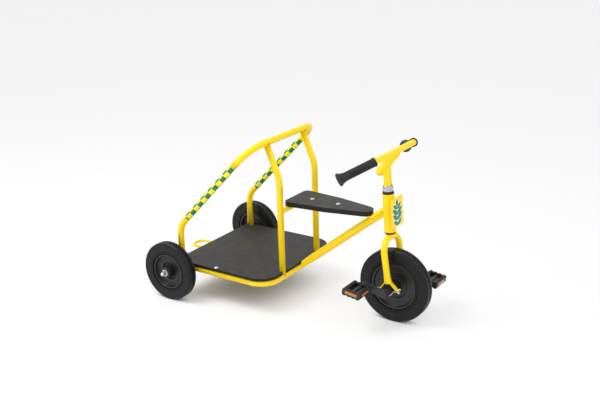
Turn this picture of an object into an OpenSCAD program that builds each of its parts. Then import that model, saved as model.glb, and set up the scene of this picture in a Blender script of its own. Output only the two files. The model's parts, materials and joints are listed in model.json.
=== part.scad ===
// Children's tricycle with a rear standing deck, a carrier hoop and a direct-drive front wheel.
// Millimetres. +X is forward, +Y is the rider's left, +Z is up, and the wheels stand on Z = 0.
// The origin is on the floor, under the middle of the whole tricycle.

/* [Wheels] */
// Distance from the rear axle to the front axle
wheelbase = 929; // [880:1:980]
// Distance between the middles of the rear tyres
track = 628; // [612:1:680]
// Outer diameter of the front tyre
front_wheel_d = 310; // [290:1:320]
// Width of the front tyre
front_tyre_w = 50; // [40:1:54]
// Outer diameter of the rear tyres
rear_wheel_d = 258; // [246:1:266]
// Width of the rear tyres
rear_tyre_w = 43; // [36:1:48]
// Radius of the front rim where the tyre sits on it
front_rim_r = 100; // [94:1:108]
// Radius of the rear rims where the tyre sits on them
rear_rim_r = 78; // [72:1:84]
// Diameter of the rear axle rod
rear_axle_d = 14; // [10:1:18]
// Diameter of the front axle that the cranks turn
crank_axle_d = 16; // [12:1:20]

/* [Frame tubes] */
// Diameter of the lower frame tube round the deck
rail_d = 28; // [28:1:32]
// Diameter of the carrier hoop tube
hoop_d = 27.5; // [27:0.25:27.75]
// Diameter of the two front posts
post_d = 27; // [22:1:27]
// Diameter of the sloping main tube
main_d = 34.5; // [32:0.5:38]
// Diameter of the main tube where it ends on the front rail
main_foot_d = 25; // [20:1:27]
// Length of the main tube's tapered foot
main_taper = 90; // [60:5:120]
// Diameter of the sleeve that holds the rear axle
axle_tube_d = 32; // [24:1:34]
// Diameter of the tube that carries the back of the seat
seat_tube_d = 22; // [16:1:24]
// Diameter of the rod of the towing loop
tow_rod_d = 12; // [8:1:14]
// Outer width of the towing loop
tow_w = 82; // [60:1:110]
// Reach of the towing loop behind the rear axle
tow_reach = 118; // [80:1:130]

/* [Deck] */
// Height of the top of the deck board
deck_top = 163.3; // [155:0.1:175]
// Thickness of the deck board
deck_t = 12; // [9:1:18]
// Width of the deck board
deck_w = 532; // [500:1:550]
// Distance between the middles of the two side rails
rail_span = 503; // [470:1:510]
// Distance from the front axle back to the front rail
rail_back = 463; // [430:1:490]
// Bend radius of the front corners of the rail
rail_bend = 80; // [60:1:100]
// Overhang of the deck board behind the rear axle
deck_back = 5.6; // [0:0.1:12]
// Distance from the rear axle to the deck bolts
deck_bolt_x = 204; // [120:1:320]

/* [Hoop and posts] */
// Distance from the rear axle to the hoop's upright legs
hoop_leg_x = 18; // [14:1:45]
// Height where the hoop's legs turn forward
hoop_knee_z = 319; // [280:1:380]
// How far the hoop's top bar lies behind the front rail
hoop_top_back = 68; // [50:1:95]
// Height of the middle of the hoop's top bar
hoop_top_z = 711; // [670:1:740]
// Bend radius at the hoop's knees
hoop_knee_bend = 100; // [70:1:120]
// Bend radius at the hoop's top corners
hoop_top_bend = 95; // [70:1:100]
// Distance between the middles of the two front posts
post_span = 268.6; // [230:0.1:290]
// Height of the posts' bend
post_knee_z = 564; // [540:1:600]
// How far the posts lean back between the rail and their bend
post_lean = 6; // [0:0.5:12]
// Bend radius of the posts
post_bend = 150; // [100:1:200]
// How far the deck board stops short of the front of the posts
notch_open = 3.5; // [0:0.5:8]

/* [Seat] */
// Height of the top of the seat board
seat_top = 455; // [440:0.5:465]
// Thickness of the seat board
seat_t = 20; // [12:1:22]
// Width of the back of the seat
seat_w = 175; // [150:1:200]
// Width of the middle of the seat
seat_mid_w = 144; // [125:1:155]
// Width of the tip of the seat
seat_tip_w = 76; // [50:1:90]
// How far the seat's back edge lies behind the front rail
seat_overhang = 21; // [10:1:30]
// Length of the seat
seat_len = 374; // [340:1:376]
// Corner radius of the back of the seat
seat_corner_r = 20; // [10:1:30]
// Distance from the seat's back edge to the rear bolt
seat_bolt_back = 87.8; // [60:0.1:120]
// Distance from the seat's back edge to the front bolt
seat_bolt_front = 213.7; // [180:0.1:250]
// Width of the flat bar under the seat
seat_bar_w = 40; // [24:1:42]
// Thickness of the flat bar under the seat
seat_bar_t = 5; // [4:0.5:8]

/* [Steering] */
// Backward tilt of the steering axis
head_tilt = 4.3; // [2:0.1:7]
// How far the steering axis passes behind the front axle
fork_offset = 11; // [0:0.5:16]
// Outer diameter of the head tube
head_d = 48; // [46:1:52]
// Length of the head tube
head_len = 158; // [140:1:166]
// Distance from the front axle up the steering axis to the head tube
head_start = 227; // [226:1:236]
// Outer diameter of the steerer tube
steerer_d = 28.6; // [25.4:0.1:30]
// Inner diameter of the steerer tube
steerer_bore = 24; // [20:0.5:25]
// Diameter of the fork legs
fork_d = 26; // [22:1:28]
// Half distance between the fork legs at the axle
fork_half_low = 60; // [56:1:64]
// Half distance between the fork legs below the crown
fork_half_high = 67; // [64:1:72]
// Bend radius of the fork's shoulders
fork_bend = 52; // [36:1:54]
// Distance from the front axle up to the middle of the fork crown
crown_s = 205; // [198:0.5:206]
// Height of the dark collar on top of the head tube
upper_collar_h = 10.6; // [6:0.1:14]
// How far up the head tube the main tube meets it
main_meet = 0.61; // [0.4:0.01:0.75]
// Height of the bright locknut above it
locknut_h = 22.5; // [14:0.5:28]

/* [Handlebar] */
// How far the handlebar's cross tube lies behind the front axle
bar_back = 11; // [0:1:25]
// Height of the handlebar's cross tube
bar_z = 714.9; // [690:0.1:740]
// Diameter of the handlebar tube
bar_d = 25; // [22:1:26]
// Half width of the straight part of the handlebar
bar_half = 156; // [140:1:180]
// Length of each swept-back end
bar_end_len = 162; // [150:1:180]
// Backward sweep of the ends
bar_sweep = 38.8; // [20:0.1:45]
// Downward slope of the ends
bar_drop = 20.7; // [10:0.1:30]
// Diameter of the stem tube
stem_d = 32; // [26:1:33]
// Diameter of the sloping riser
riser_d = 36; // [34:1:38]
// How far the riser's foot lies behind the cross tube
riser_back = 65; // [50:1:80]
// How far the riser's foot lies below the cross tube
riser_drop = 91; // [70:1:110]
// Outer diameter of the grips
grip_d = 34; // [30:1:38]
// Diameter of the flange at the end of a grip
grip_flange_d = 52; // [44:1:58]

/* [Cranks and pedals] */
// Crank length from the axle to the pedal
crank_len = 88.5; // [80:0.5:100]
// Angle of the cranks from level, with the right pedal up
crank_rest = 14; // [0:1:30]
// Distance from the middle of the tricycle to a crank's outer face
crank_face = 114; // [111:1:120]
// Thickness of the crank arms
crank_t = 12; // [8:1:14]
// Width of a pedal along its spindle
pedal_w = 91; // [80:1:100]
// Length of a pedal front to back
pedal_l = 80; // [74:1:90]
// Thickness of a pedal
pedal_t = 30; // [26:1:32]
// Nose-down tilt of the pedals
pedal_pitch = 8; // [0:1:15]
// Diameter of a pedal spindle
spindle_d = 9; // [8:0.5:12]

/* [Fits] */
// Radial clearance of a turning shaft in its bore
run_gap = 0.05; // [0.02:0.01:0.1]
// Gap left between faces that turn past each other
face_gap = 0.3; // [0.2:0.05:0.5]
// Radial room round a bolt in its hole
bolt_room = 0.2; // [0.1:0.1:0.5]

/* [Hidden] */
$fn = 96;

paint = "gold";
board_black = "dimgray";
rubber_black = "black";
plastic_black = "darkslategray";
bright_steel = "silver";
amber = "orange";

rear_r = rear_wheel_d / 2;
front_r = front_wheel_d / 2;
rail_front = wheelbase - rail_back;
hoop_top_x = rail_front - hoop_top_back;
bar_x = wheelbase - bar_back;
seat_back_x = rail_front - seat_overhang;
seat_tip_x = seat_back_x + seat_len;
seat_bolt_x = [seat_back_x + seat_bolt_back, seat_back_x + seat_bolt_front];
// The tyres mark both ends, so their mean is the middle of the whole length
middle_x = (wheelbase + front_r - rear_r) / 2;
deck_bottom = deck_top - deck_t;
rail_z = deck_bottom - rail_d / 2;
rail_y = rail_span / 2;
post_y = post_span / 2;
deck_front = rail_front + post_d / 2 - notch_open;
// Width to spare where the deck is cut out round a tube
cut_room = 2;
notch_d = post_d + cut_room;
leg_cut_d = hoop_d + cut_room;
seat_bottom = seat_top - seat_t;
seat_tube_z = seat_bottom - seat_tube_d / 2;
seat_tube_x = post_point(1, seat_tube_z)[0];
// Steering axis: where it passes and how far up the main tube meets it
main_top_s = head_start + head_len * main_meet;
head_top = head_start + head_len;
main_foot = [rail_front, 0, rail_z];
main_head = steer_point([0, 0, main_top_s]);
collar_low = 4;
race_s = head_start - collar_low - face_gap;
locknut_s = head_top + upper_collar_h + face_gap;
stem_s = locknut_s + locknut_h;
bar_centre = [bar_x, 0, bar_z];
riser_foot = [bar_x - riser_back, 0, bar_z - riser_drop];
reach = 1;
// A bend stands this little proud of the straights that run into it, so that they always join
fuse = 0.04;
bite = 0.3;

// A point given in the steering frame, moved to the tricycle's frame
function steer_point(p) = [
    wheelbase - fork_offset + p[0] * cos(head_tilt) - p[2] * sin(head_tilt),
    p[1],
    front_r + p[0] * sin(head_tilt) + p[2] * cos(head_tilt)
];
// A point at height z on the lower stretch of the post on one side
function post_point(side, z) = [
    rail_front - post_lean * (z - rail_z) / (post_knee_z - rail_z),
    side * post_y,
    z
];
function unit(v) = v / norm(v);

// Carries a sub-part from the rear axle's place to the origin under the middle
module place() {
    translate([-middle_x, 0, 0]) children();
}

// The steering frame: its Z axis is the steering axis, and it starts at the front axle's height
module steer() {
    translate([wheelbase - fork_offset, 0, front_r]) rotate([0, -head_tilt, 0]) children();
}

// The fork's legs lean from the crown forward to the axle: their own length and lean
crown_back = fork_offset + crown_s * sin(head_tilt);
crown_rise = crown_s * cos(head_tilt);
leg_len = norm([crown_back, crown_rise]);
leg_lean = atan2(crown_back, crown_rise);

// The legs' frame: its origin is on the front axle and its Z axis points at the crown
module legs() {
    translate([wheelbase, 0, front_r]) rotate([0, -leg_lean, 0]) children();
}

// Turns +Z to run from a to b, starting at a
module along(a, b) {
    d = b - a;
    translate(a) rotate([0, acos(d[2] / norm(d)), atan2(d[1], d[0])]) children();
}

// Straight round bar from a to b
module bar(a, b, d) {
    along(a, b) cylinder(h = norm(b - a), d = d);
}

// Length taken from each side of a corner by its bend
function setback(before, at, after, bend) = bend * tan(acos(unit(at - before) * unit(after - at)) / 2);

// Round bend in a bar at the corner "at"
module elbow(before, at, after, bend, d) {
    u = unit(at - before);
    v = unit(after - at);
    turn = acos(u * v);
    inward = unit(v - (u * v) * u);
    normal = cross(u, inward);
    c = at - u * setback(before, at, after, bend) + inward * bend;
    multmatrix([
        [-inward[0], u[0], normal[0], c[0]],
        [-inward[1], u[1], normal[1], c[1]],
        [-inward[2], u[2], normal[2], c[2]],
        [0, 0, 0, 1]
    ])
        rotate_extrude(angle = turn) translate([bend, 0]) circle(r = d / 2 + fuse);
}

// Round bar bent through a list of points, with one bend radius for each inner point
module bent_bar(path, bends, d) {
    last = len(path) - 1;
    for (i = [0:last - 1]) {
        ahead = unit(path[i + 1] - path[i]);
        start_cut = i == 0 ? 0 : setback(path[i - 1], path[i], path[i + 1], bends[i - 1]) - bite;
        end_cut = i == last - 1 ? 0 : setback(path[i], path[i + 1], path[i + 2], bends[i]) - bite;
        bar(path[i] + ahead * start_cut, path[i + 1] - ahead * end_cut, d);
    }
    for (i = [1:last - 1])
        elbow(path[i - 1], path[i], path[i + 1], bends[i - 1], d);
}

// A copy on each side of the middle plane
module both_sides() {
    for (side = [-1, 1])
        scale_side(side) children();
}

module scale_side(side) {
    if (side > 0)
        children();
    else
        mirror([0, 1, 0]) children();
}

// Solid stand-ins for the tubes that others are cut to fit
module side_rail_line() {
    both_sides()
        bar([-reach, rail_y, rail_z], [rail_front - rail_bend, rail_y, rail_z], rail_d);
}

module front_rail_line() {
    bar([rail_front, -rail_y + rail_bend, rail_z], [rail_front, rail_y - rail_bend, rail_z], rail_d);
}

module axle_tube_line() {
    bar([0, -rail_y - rail_d, rear_r], [0, rail_y + rail_d, rear_r], axle_tube_d);
}

module top_bar_line() {
    half = rail_y - hoop_top_bend;
    bar([hoop_top_x, -half, hoop_top_z], [hoop_top_x, half, hoop_top_z], hoop_d);
}

module head_line() {
    steer() translate([0, 0, head_start]) cylinder(h = head_len, d = head_d);
}

module main_line() {
    bar(main_foot, main_head, main_d);
}

module post_lines() {
    both_sides()
        bar(post_point(1, seat_tube_z - seat_tube_d), post_point(1, seat_tube_z + seat_tube_d), post_d);
}

module seat_tube_line() {
    bar([seat_tube_x, -post_y, seat_tube_z], [seat_tube_x, post_y, seat_tube_z], seat_tube_d);
}

// Sizes of the small parts
spine_d = rail_d - 3;
m8 = 8;
m8_hole = m8 + 2 * bolt_room;
m8_head_d = 20;
m8_head_h = 4;
m8_nut_flats = 13;
m8_nut_h = 6.5;
m8_tail = 5.8;
hub_inner = 22;
hub_outer = 34;
spacer_w = 7;
axle_tube_half = track / 2 - hub_inner - spacer_w;
axle_washer_d = 30;
axle_washer_t = 2.5;
axle_nut_flats = 19;
axle_nut_h = 11;
axle_cap_d = 18;
axle_cap_h = 12;
head_bore = head_d - 10;
collar_d = 43;
race_d = 40;
bush_len = 12;

// Low dome on a round base, for a bolt head
module dome(d, h) {
    ball = (d * d / 4 + h * h) / (2 * h);
    rotate_extrude()
        intersection() {
            translate([0, h - ball]) circle(r = ball);
            square([d / 2, h]);
        }
}

// Hexagonal nut with a round bore, standing on its face
module hex_nut(flats, h, bore) {
    difference() {
        cylinder(h = h, d = flats / cos(30), $fn = 6);
        translate([0, 0, -reach]) cylinder(h = h + 2 * reach, d = bore);
    }
}

// Round-headed bolt: the underside of its head is at Z = 0 and its shank points down
module coach_bolt(shank) {
    dome(m8_head_d, m8_head_h);
    translate([0, 0, -shank]) cylinder(h = shank, d = m8);
}

// Rectangle with round corners, centred
module round_rect(w, h, r) {
    square([w, h - 2 * r], center = true);
    square([w - 2 * r, h], center = true);
    for (x = [-1, 1], y = [-1, 1])
        translate([x * (w / 2 - r), y * (h / 2 - r)]) circle(r = r);
}

// Unit normal, on the side of positive Y, of the line that touches two circles from outside
function touch_normal(c1, r1, c2, r2) =
    let (d = c2 - c1, angle = atan2(d[1], d[0]) + acos((r1 - r2) / norm(d)))
    [cos(angle), sin(angle)];

function flip(p) = [p[0], -p[1]];

// Two circles on the X axis and the straight sides that touch both
module taper_link(x2, r1, r2) {
    n = touch_normal([0, 0], r1, [x2, 0], r2);
    a = n * (r1 - fuse);
    b = [x2, 0] + n * (r2 - fuse);
    circle(r = r1);
    translate([x2, 0]) circle(r = r2);
    polygon([flip(a), flip(b), b, a]);
}

// ---- Frame ----

module base_rail() color(paint) place()
    difference() {
        bent_bar([
            [0, -rail_y, rail_z],
            [rail_front, -rail_y, rail_z],
            [rail_front, rail_y, rail_z],
            [0, rail_y, rail_z]
        ], [rail_bend, rail_bend], rail_d);
        axle_tube_line();
        deck_bolt_places() translate([0, 0, -deck_top]) cylinder(h = deck_top, d = m8_hole);
    }

module rear_axle_tube() color(paint) place()
    translate([0, 0, rear_r]) rotate([90, 0, 0])
        difference() {
            cylinder(h = 2 * axle_tube_half, d = axle_tube_d, center = true);
            cylinder(h = 2 * (axle_tube_half + reach), r = rear_axle_d / 2 + run_gap, center = true);
        }

module deck_spine() color(paint) place()
    difference() {
        z = deck_bottom - spine_d / 2;
        bar([0, 0, z], [rail_front, 0, z], spine_d);
        axle_tube_line();
        front_rail_line();
    }

tow_lift = 2;
tow_bend = tow_w * 0.34;

module tow_loop() color(paint) place()
    difference() {
        half = (tow_w - tow_rod_d) / 2;
        back = tow_rod_d / 2 - tow_reach;
        z = rear_r + tow_lift;
        bent_bar([[0, -half, z], [back, -half, z], [back, half, z], [0, half, z]], [tow_bend, tow_bend],
            tow_rod_d);
        axle_tube_line();
    }

module rear_hoop() color(paint) place()
    difference() {
        bent_bar([
            [hoop_leg_x, -rail_y, rail_z],
            [hoop_leg_x, -rail_y, hoop_knee_z],
            [hoop_top_x, -rail_y, hoop_top_z],
            [hoop_top_x, rail_y, hoop_top_z],
            [hoop_leg_x, rail_y, hoop_knee_z],
            [hoop_leg_x, rail_y, rail_z]
        ], [hoop_knee_bend, hoop_top_bend, hoop_top_bend, hoop_knee_bend], hoop_d);
        side_rail_line();
    }

module front_post(side) color(paint) place()
    difference() {
        bent_bar([
            post_point(side, rail_z),
            post_point(side, post_knee_z),
            [hoop_top_x, side * post_y, hoop_top_z]
        ], [post_bend], post_d);
        front_rail_line();
        top_bar_line();
    }

module seat_cross_tube() color(paint) place()
    difference() {
        seat_tube_line();
        post_lines();
    }

// How far in front of the cross tube's middle the flat bar starts, and how far past the seat it is drawn
// before the main tube cuts it
seat_bar_lap = 5;

module seat_bar() color(paint) place()
    difference() {
        translate([seat_tube_x + seat_bar_lap, -seat_bar_w / 2, seat_bottom - seat_bar_t])
            cube([seat_len, seat_bar_w, seat_bar_t]);
        seat_tube_line();
        main_line();
        steer_side_of_main();
        seat_bolt_places() translate([0, 0, -seat_top]) cylinder(h = seat_top, d = m8_hole);
    }

// The space in front of the main tube's back edge at the height of the seat
module steer_side_of_main() {
    along(main_foot, main_head) translate([0, -seat_w, 0]) cube([seat_w, 2 * seat_w, wheelbase]);
}

module main_tube() color(paint) place()
    difference() {
        union() {
            up = unit(main_head - main_foot);
            bar(main_foot + up * main_taper, main_head, main_d);
            along(main_foot, main_head) cylinder(h = main_taper + bite, d1 = main_foot_d, d2 = main_d);
        }
        front_rail_line();
        head_line();
        translate([rail_front - main_d, -main_d, deck_bottom - face_gap])
            cube([deck_front - rail_front + main_d + face_gap, 2 * main_d, main_d]);
        translate([rail_front - main_d, -main_d, rail_z - main_d])
            cube([main_d, 2 * main_d, 2 * main_d]);
    }

module head_tube() color(paint) place() steer()
    translate([0, 0, head_start])
        difference() {
            cylinder(h = head_len, d = head_d);
            translate([0, 0, -reach]) cylinder(h = head_len + 2 * reach, d = head_bore);
        }

plate_w = 98;
plate_h = 121;
plate_t = 3;
plate_corner = 7;
plate_gap = 9;
plate_drop = 12;
plate_mid_s = head_top - plate_h / 2 - plate_drop;
plate_rib_w = 6;
plate_rib_h = 90;

module head_plate() color(paint) place()
    difference() {
        steer()
            translate([0, 0, plate_mid_s]) {
                translate([head_d / 2 + plate_gap, 0, 0]) rotate([90, 0, 90])
                    linear_extrude(plate_t) round_rect(plate_w, plate_h, plate_corner);
                translate([0, -plate_rib_w / 2, -plate_rib_h / 2])
                    cube([head_d / 2 + plate_gap + bite, plate_rib_w, plate_rib_h]);
            }
        head_line();
    }

// ---- Deck and seat ----

module deck_bolt_places() {
    both_sides() translate([deck_bolt_x, rail_y, deck_top]) children();
}

deck_corner_less = 4;

module deck_outline() {
    corner = rail_bend + deck_front - rail_front - deck_corner_less;
    half = deck_w / 2;
    polygon([
        [-deck_back, -half], [deck_front - corner, -half], [deck_front, -half + corner],
        [deck_front, half - corner], [deck_front - corner, half], [-deck_back, half]
    ]);
    for (y = [-1, 1])
        translate([deck_front - corner, y * (half - corner)]) circle(r = corner);
}

module deck_board() color(board_black) place()
    translate([0, 0, deck_bottom]) linear_extrude(deck_t)
        difference() {
            deck_outline();
            for (y = [-1, 1]) {
                translate([rail_front, y * post_y]) {
                    circle(d = notch_d);
                    translate([0, -notch_d / 2]) square(notch_d);
                }
                translate([hoop_leg_x, y * rail_y]) {
                    circle(d = leg_cut_d);
                    translate([0, y * hoop_d]) square([leg_cut_d, 2 * hoop_d], center = true);
                }
                translate([deck_bolt_x, y * rail_y]) circle(d = m8_hole);
            }
        }

module deck_bolts() color(bright_steel) place()
    deck_bolt_places() coach_bolt(deck_t + rail_d + m8_nut_h + m8_tail);

module deck_nuts() color(bright_steel) place()
    deck_bolt_places() translate([0, 0, -deck_t - rail_d - m8_nut_h]) hex_nut(m8_nut_flats, m8_nut_h, m8);

module seat_bolt_places() {
    for (x = seat_bolt_x)
        translate([x, 0, seat_top]) children();
}

// Where along the seat its sides turn in towards the tip
seat_mid_at = 0.47;

module seat_outline() {
    tip_r = seat_tip_w / 2;
    mid_r = seat_mid_w / 2;
    corner = [seat_back_x + seat_corner_r, seat_w / 2 - seat_corner_r];
    mid = [seat_back_x + seat_len * seat_mid_at, 0];
    tip = [seat_tip_x - tip_r, 0];
    n1 = touch_normal(corner, seat_corner_r, mid, mid_r);
    n2 = touch_normal(mid, mid_r, tip, tip_r);
    side = [
        [seat_back_x + fuse, corner[1]],
        corner + n1 * (seat_corner_r - fuse),
        mid + n1 * (mid_r - fuse),
        mid + n2 * (mid_r - fuse),
        tip + n2 * (tip_r - fuse)
    ];
    polygon(concat([for (p = side) flip(p)], [for (i = [len(side) - 1:-1:0]) side[i]]));
    translate(corner) circle(r = seat_corner_r);
    translate(flip(corner)) circle(r = seat_corner_r);
    translate(mid) circle(r = mid_r);
    translate(tip) circle(r = tip_r);
}

// The board is hollowed a little where its tip comes down on the main tube
module seat_board() color(board_black) place()
    difference() {
        translate([0, 0, seat_bottom]) linear_extrude(seat_t)
            difference() {
                seat_outline();
                for (x = seat_bolt_x)
                    translate([x, 0]) circle(d = m8_hole);
            }
        bar(main_foot, main_head, main_d + 2 * face_gap);
    }

module seat_bolts() color(bright_steel) place()
    seat_bolt_places() coach_bolt(seat_t + seat_bar_t + m8_nut_h + m8_tail);

module seat_nuts() color(bright_steel) place()
    seat_bolt_places()
        translate([0, 0, -seat_t - seat_bar_t - m8_nut_h]) hex_nut(m8_nut_flats, m8_nut_h, m8);

// ---- Head bushes and rear axle ----

module flanged_bush(start, length, flange_start, flange_len, top_d) {
    difference() {
        union() {
            translate([0, 0, start]) cylinder(h = length, d = head_bore);
            translate([0, 0, flange_start]) cylinder(h = flange_len, d1 = head_d, d2 = top_d);
        }
        translate([0, 0, start - head_len]) cylinder(h = 3 * head_len, r = steerer_d / 2 + run_gap);
    }
}

module lower_head_bush() color(plastic_black) place() steer()
    flanged_bush(head_start, bush_len, head_start - collar_low, collar_low, head_d);

module upper_head_bush() color(plastic_black) place() steer()
    flanged_bush(head_top - bush_len, bush_len, head_top, upper_collar_h, collar_d);

washer_y = track / 2 + hub_outer + face_gap;
nut_y = washer_y + axle_washer_t;

// Turns +Z to point outwards along the rear axle on one side
module rear_axle_side(side) {
    translate([0, 0, rear_r]) scale_side(side) rotate([-90, 0, 0]) children();
}

module rear_axle() color(bright_steel) place()
    translate([0, 0, rear_r]) rotate([90, 0, 0])
        cylinder(h = 2 * (nut_y + axle_nut_h), d = rear_axle_d, center = true);

module axle_ring(start, length, d) {
    for (side = [-1, 1])
        rear_axle_side(side)
            translate([0, 0, start])
                difference() {
                    cylinder(h = length, d = d);
                    translate([0, 0, -reach]) cylinder(h = length + 2 * reach, d = rear_axle_d);
                }
}

spacer_d = 26;

module axle_spacers() color(bright_steel) place()
    axle_ring(axle_tube_half, spacer_w - face_gap, spacer_d);

module axle_washers() color(bright_steel) place()
    axle_ring(washer_y, axle_washer_t, axle_washer_d);

module axle_nuts() color(bright_steel) place()
    for (side = [-1, 1])
        rear_axle_side(side)
            translate([0, 0, nut_y])
                difference() {
                    union() {
                        cylinder(h = axle_nut_h, d = axle_nut_flats / cos(30), $fn = 6);
                        translate([0, 0, axle_nut_h]) dome(axle_cap_d, axle_cap_h);
                    }
                    translate([0, 0, -reach]) cylinder(h = axle_nut_h + reach, d = rear_axle_d);
                }

// ---- Steering ----

crown_lip = 0.5;
crown_top = crown_s + fork_d / 2 + crown_lip;
saddle_w = 18;
saddle_inner = 0.44;
strap_w = 15;
bolt_head_h = 4;
saddle_t = 4.5;
saddle_top = 33;
leg_flare_d = 32;
leg_flare_h = 40;
saddle_half_top = 14;
saddle_knee = 38;
ear_half = 50;
ear_low = 1;
strap_gap = 3;
strap_t = 3;
strap_bolt_x = 44;
bearing_w = 32;
bearing_r = 20;
m6 = 6;
m6_hole = m6 + 2 * bolt_room;
m6_flats = 10;
m6_nut_h = 5;
m6_tail = 2;

// Outline of the saddle plate that spreads from a fork leg over the axle bearing
module saddle_outline() {
    step_in = saddle_inner * saddle_t;
    right = [
        [ear_half, ear_low], [ear_half, ear_low + saddle_t], [saddle_knee, ear_low + saddle_t],
        [saddle_half_top, saddle_top]
    ];
    inside = [[saddle_half_top - step_in, saddle_top - saddle_t], [saddle_knee - step_in, ear_low]];
    mirrored = function (p) [-p[0], p[1]];
    polygon(concat(
        right,
        [for (i = [len(right) - 1:-1:0]) mirrored(right[i])],
        [for (i = [len(inside) - 1:-1:0]) mirrored(inside[i])],
        inside
    ));
}

// Stands a flat outline upright across the wheel, centred on one fork leg
module at_leg(side, w) {
    translate([0, side * fork_half_low, 0]) rotate([90, 0, 0]) linear_extrude(w, center = true) children();
}

// The two bolt places on each side's ears, at the height of the axle
module strap_bolt_places() {
    for (side = [-1, 1], x = [-strap_bolt_x, strap_bolt_x])
        translate([x, side * fork_half_low, 0]) children();
}

module fork() color(paint) place()
    difference() {
        union() {
            leg_end = saddle_top - saddle_t / 2;
            legs() {
                bent_bar([
                    [0, -fork_half_low, leg_end],
                    [0, -fork_half_high, leg_len],
                    [0, fork_half_high, leg_len],
                    [0, fork_half_low, leg_end]
                ], [fork_bend, fork_bend], fork_d);
                for (side = [-1, 1]) {
                    foot = [0, side * fork_half_low, leg_end];
                    along(foot, [0, side * fork_half_high, leg_len])
                        cylinder(h = leg_flare_h, d1 = leg_flare_d, d2 = fork_d - neck_less);
                    at_leg(side, saddle_w) saddle_outline();
                }
            }
            steer() {
                translate([0, 0, crown_s]) cylinder(h = crown_top - crown_s, d = head_bore);
                translate([0, 0, crown_s]) cylinder(h = stem_s - crown_s, d = steerer_d);
            }
        }
        steer() translate([0, 0, head_start + bush_len]) cylinder(h = stem_s, d = steerer_bore);
        legs() strap_bolt_places() translate([0, 0, -reach]) cylinder(h = saddle_top, d = m6_hole);
    }

module crown_race() color(bright_steel) place() steer()
    translate([0, 0, crown_top])
        difference() {
            cylinder(h = race_s - crown_top, d = race_d);
            translate([0, 0, -reach]) cylinder(h = head_start, d = steerer_d);
        }

module locknut() color(bright_steel) place() steer()
    translate([0, 0, locknut_s])
        difference() {
            cylinder(h = locknut_h, d = collar_d);
            translate([0, 0, -reach]) cylinder(h = head_start, d = steerer_d);
        }

module axle_bearing(side) color(rubber_black) place() legs()
    at_leg(side, bearing_w)
        difference() {
            union() {
                circle(r = bearing_r);
                translate([-bearing_r / 2, 0]) square([bearing_r, saddle_top - saddle_t]);
            }
            circle(r = crank_axle_d / 2 + run_gap);
        }

module bearing_strap(side) color(bright_steel) place() legs()
    difference() {
        at_leg(side, strap_w) {
            top = ear_low - strap_gap;
            difference() {
                circle(r = bearing_r + strap_t);
                circle(r = bearing_r);
                translate([-ear_half, top]) square([2 * ear_half, ear_half]);
            }
            ear_w = ear_half - bearing_r - strap_t / 2;
            for (x = [-ear_half, ear_half - ear_w])
                translate([x, top - strap_t]) square([ear_w, strap_t]);
        }
        strap_bolt_places() translate([0, 0, -saddle_top]) cylinder(h = saddle_top, d = m6_hole);
    }

strap_low = ear_low - strap_gap - strap_t;

module strap_bolts() color(bright_steel) place() legs()
    strap_bolt_places() {
        shank = ear_low + saddle_t - strap_low + m6_nut_h + m6_tail;
        translate([0, 0, ear_low + saddle_t]) {
            cylinder(h = bolt_head_h, d = m6_flats / cos(30), $fn = 6);
            translate([0, 0, -shank]) cylinder(h = shank, d = m6);
        }
    }

module strap_nuts() color(bright_steel) place() legs()
    strap_bolt_places() translate([0, 0, strap_low - m6_nut_h]) hex_nut(m6_flats, m6_nut_h, m6);

// ---- Handlebar ----

bar_bend = 30;
grip_start = 14;
grip_len = bar_end_len - grip_start;
grip_end_t = 4;
quill_len = 110;
grip_lip = 1.5;
grip_lip_end = 5;
grip_flare = 3;
grip_flare_start = 30;
grip_flare_mid = 16;
grip_flange_t = 5;
riser_neck = 7;
riser_top_d = (riser_d + bar_d) / 2 + 1;
neck_less = 0.5;

// Unit vector along one swept end of the handlebar, pointing outwards
function bar_end_way(side) = [
    -sin(bar_sweep) * cos(bar_drop),
    side * cos(bar_sweep) * cos(bar_drop),
    -sin(bar_drop)
];
function bar_corner(side) = [bar_x, side * bar_half, bar_z];
// The riser meets the bar this far ahead of its middle line
riser_ahead = 5;
riser_head = bar_centre + [riser_ahead, 0, 0];
riser_way = unit(riser_head - riser_foot);
// Where the riser crosses the steering axis, up that axis
meet_drop = (riser_head[0] - wheelbase + fork_offset + (bar_z - front_r) * tan(head_tilt)) /
    (riser_way[0] + riser_way[2] * tan(head_tilt));
meet = riser_head - riser_way * meet_drop;
meet_s = (meet[2] - front_r) / cos(head_tilt);

module handlebar() color(paint) place() {
    ends = bar_end_len - grip_end_t;
    bent_bar([
        bar_corner(-1) + bar_end_way(-1) * ends,
        bar_corner(-1),
        bar_corner(1),
        bar_corner(1) + bar_end_way(1) * ends
    ], [bar_bend, bar_bend], bar_d);
    neck = riser_head - riser_way * riser_neck;
    bar(riser_foot, neck, riser_d);
    translate(riser_foot) sphere(r = riser_d / 2 + fuse);
    along(neck - riser_way * bite, riser_head)
        cylinder(h = riser_neck + bite, d1 = riser_d - neck_less, d2 = riser_top_d);
    steer() {
        translate([0, 0, stem_s]) cylinder(h = meet_s - stem_s, d = stem_d);
        translate([0, 0, stem_s - quill_len])
            cylinder(h = quill_len + reach, r = steerer_bore / 2 - run_gap);
    }
}

// Half section of a grip: radius along X, length from its inner end along Y
module grip_section() {
    inner = bar_d / 2;
    body = grip_d / 2;
    flange = grip_flange_d / 2;
    polygon([
        [inner, 0], [body + grip_lip, 0], [body + grip_lip, grip_lip_end],
        [body, grip_lip_end + grip_lip], [body, grip_len - grip_flare_start],
        [body + grip_flare, grip_len - grip_flare_mid], [flange, grip_len - grip_flange_t],
        [flange, grip_len], [0, grip_len], [0, grip_len - grip_end_t], [inner, grip_len - grip_end_t]
    ]);
}

module grip(side) color(rubber_black) place()
    translate(bar_end_way(side) * grip_start)
        along(bar_corner(side), bar_corner(side) + bar_end_way(side))
            rotate_extrude() grip_section();

// ---- Wheels ----

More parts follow.
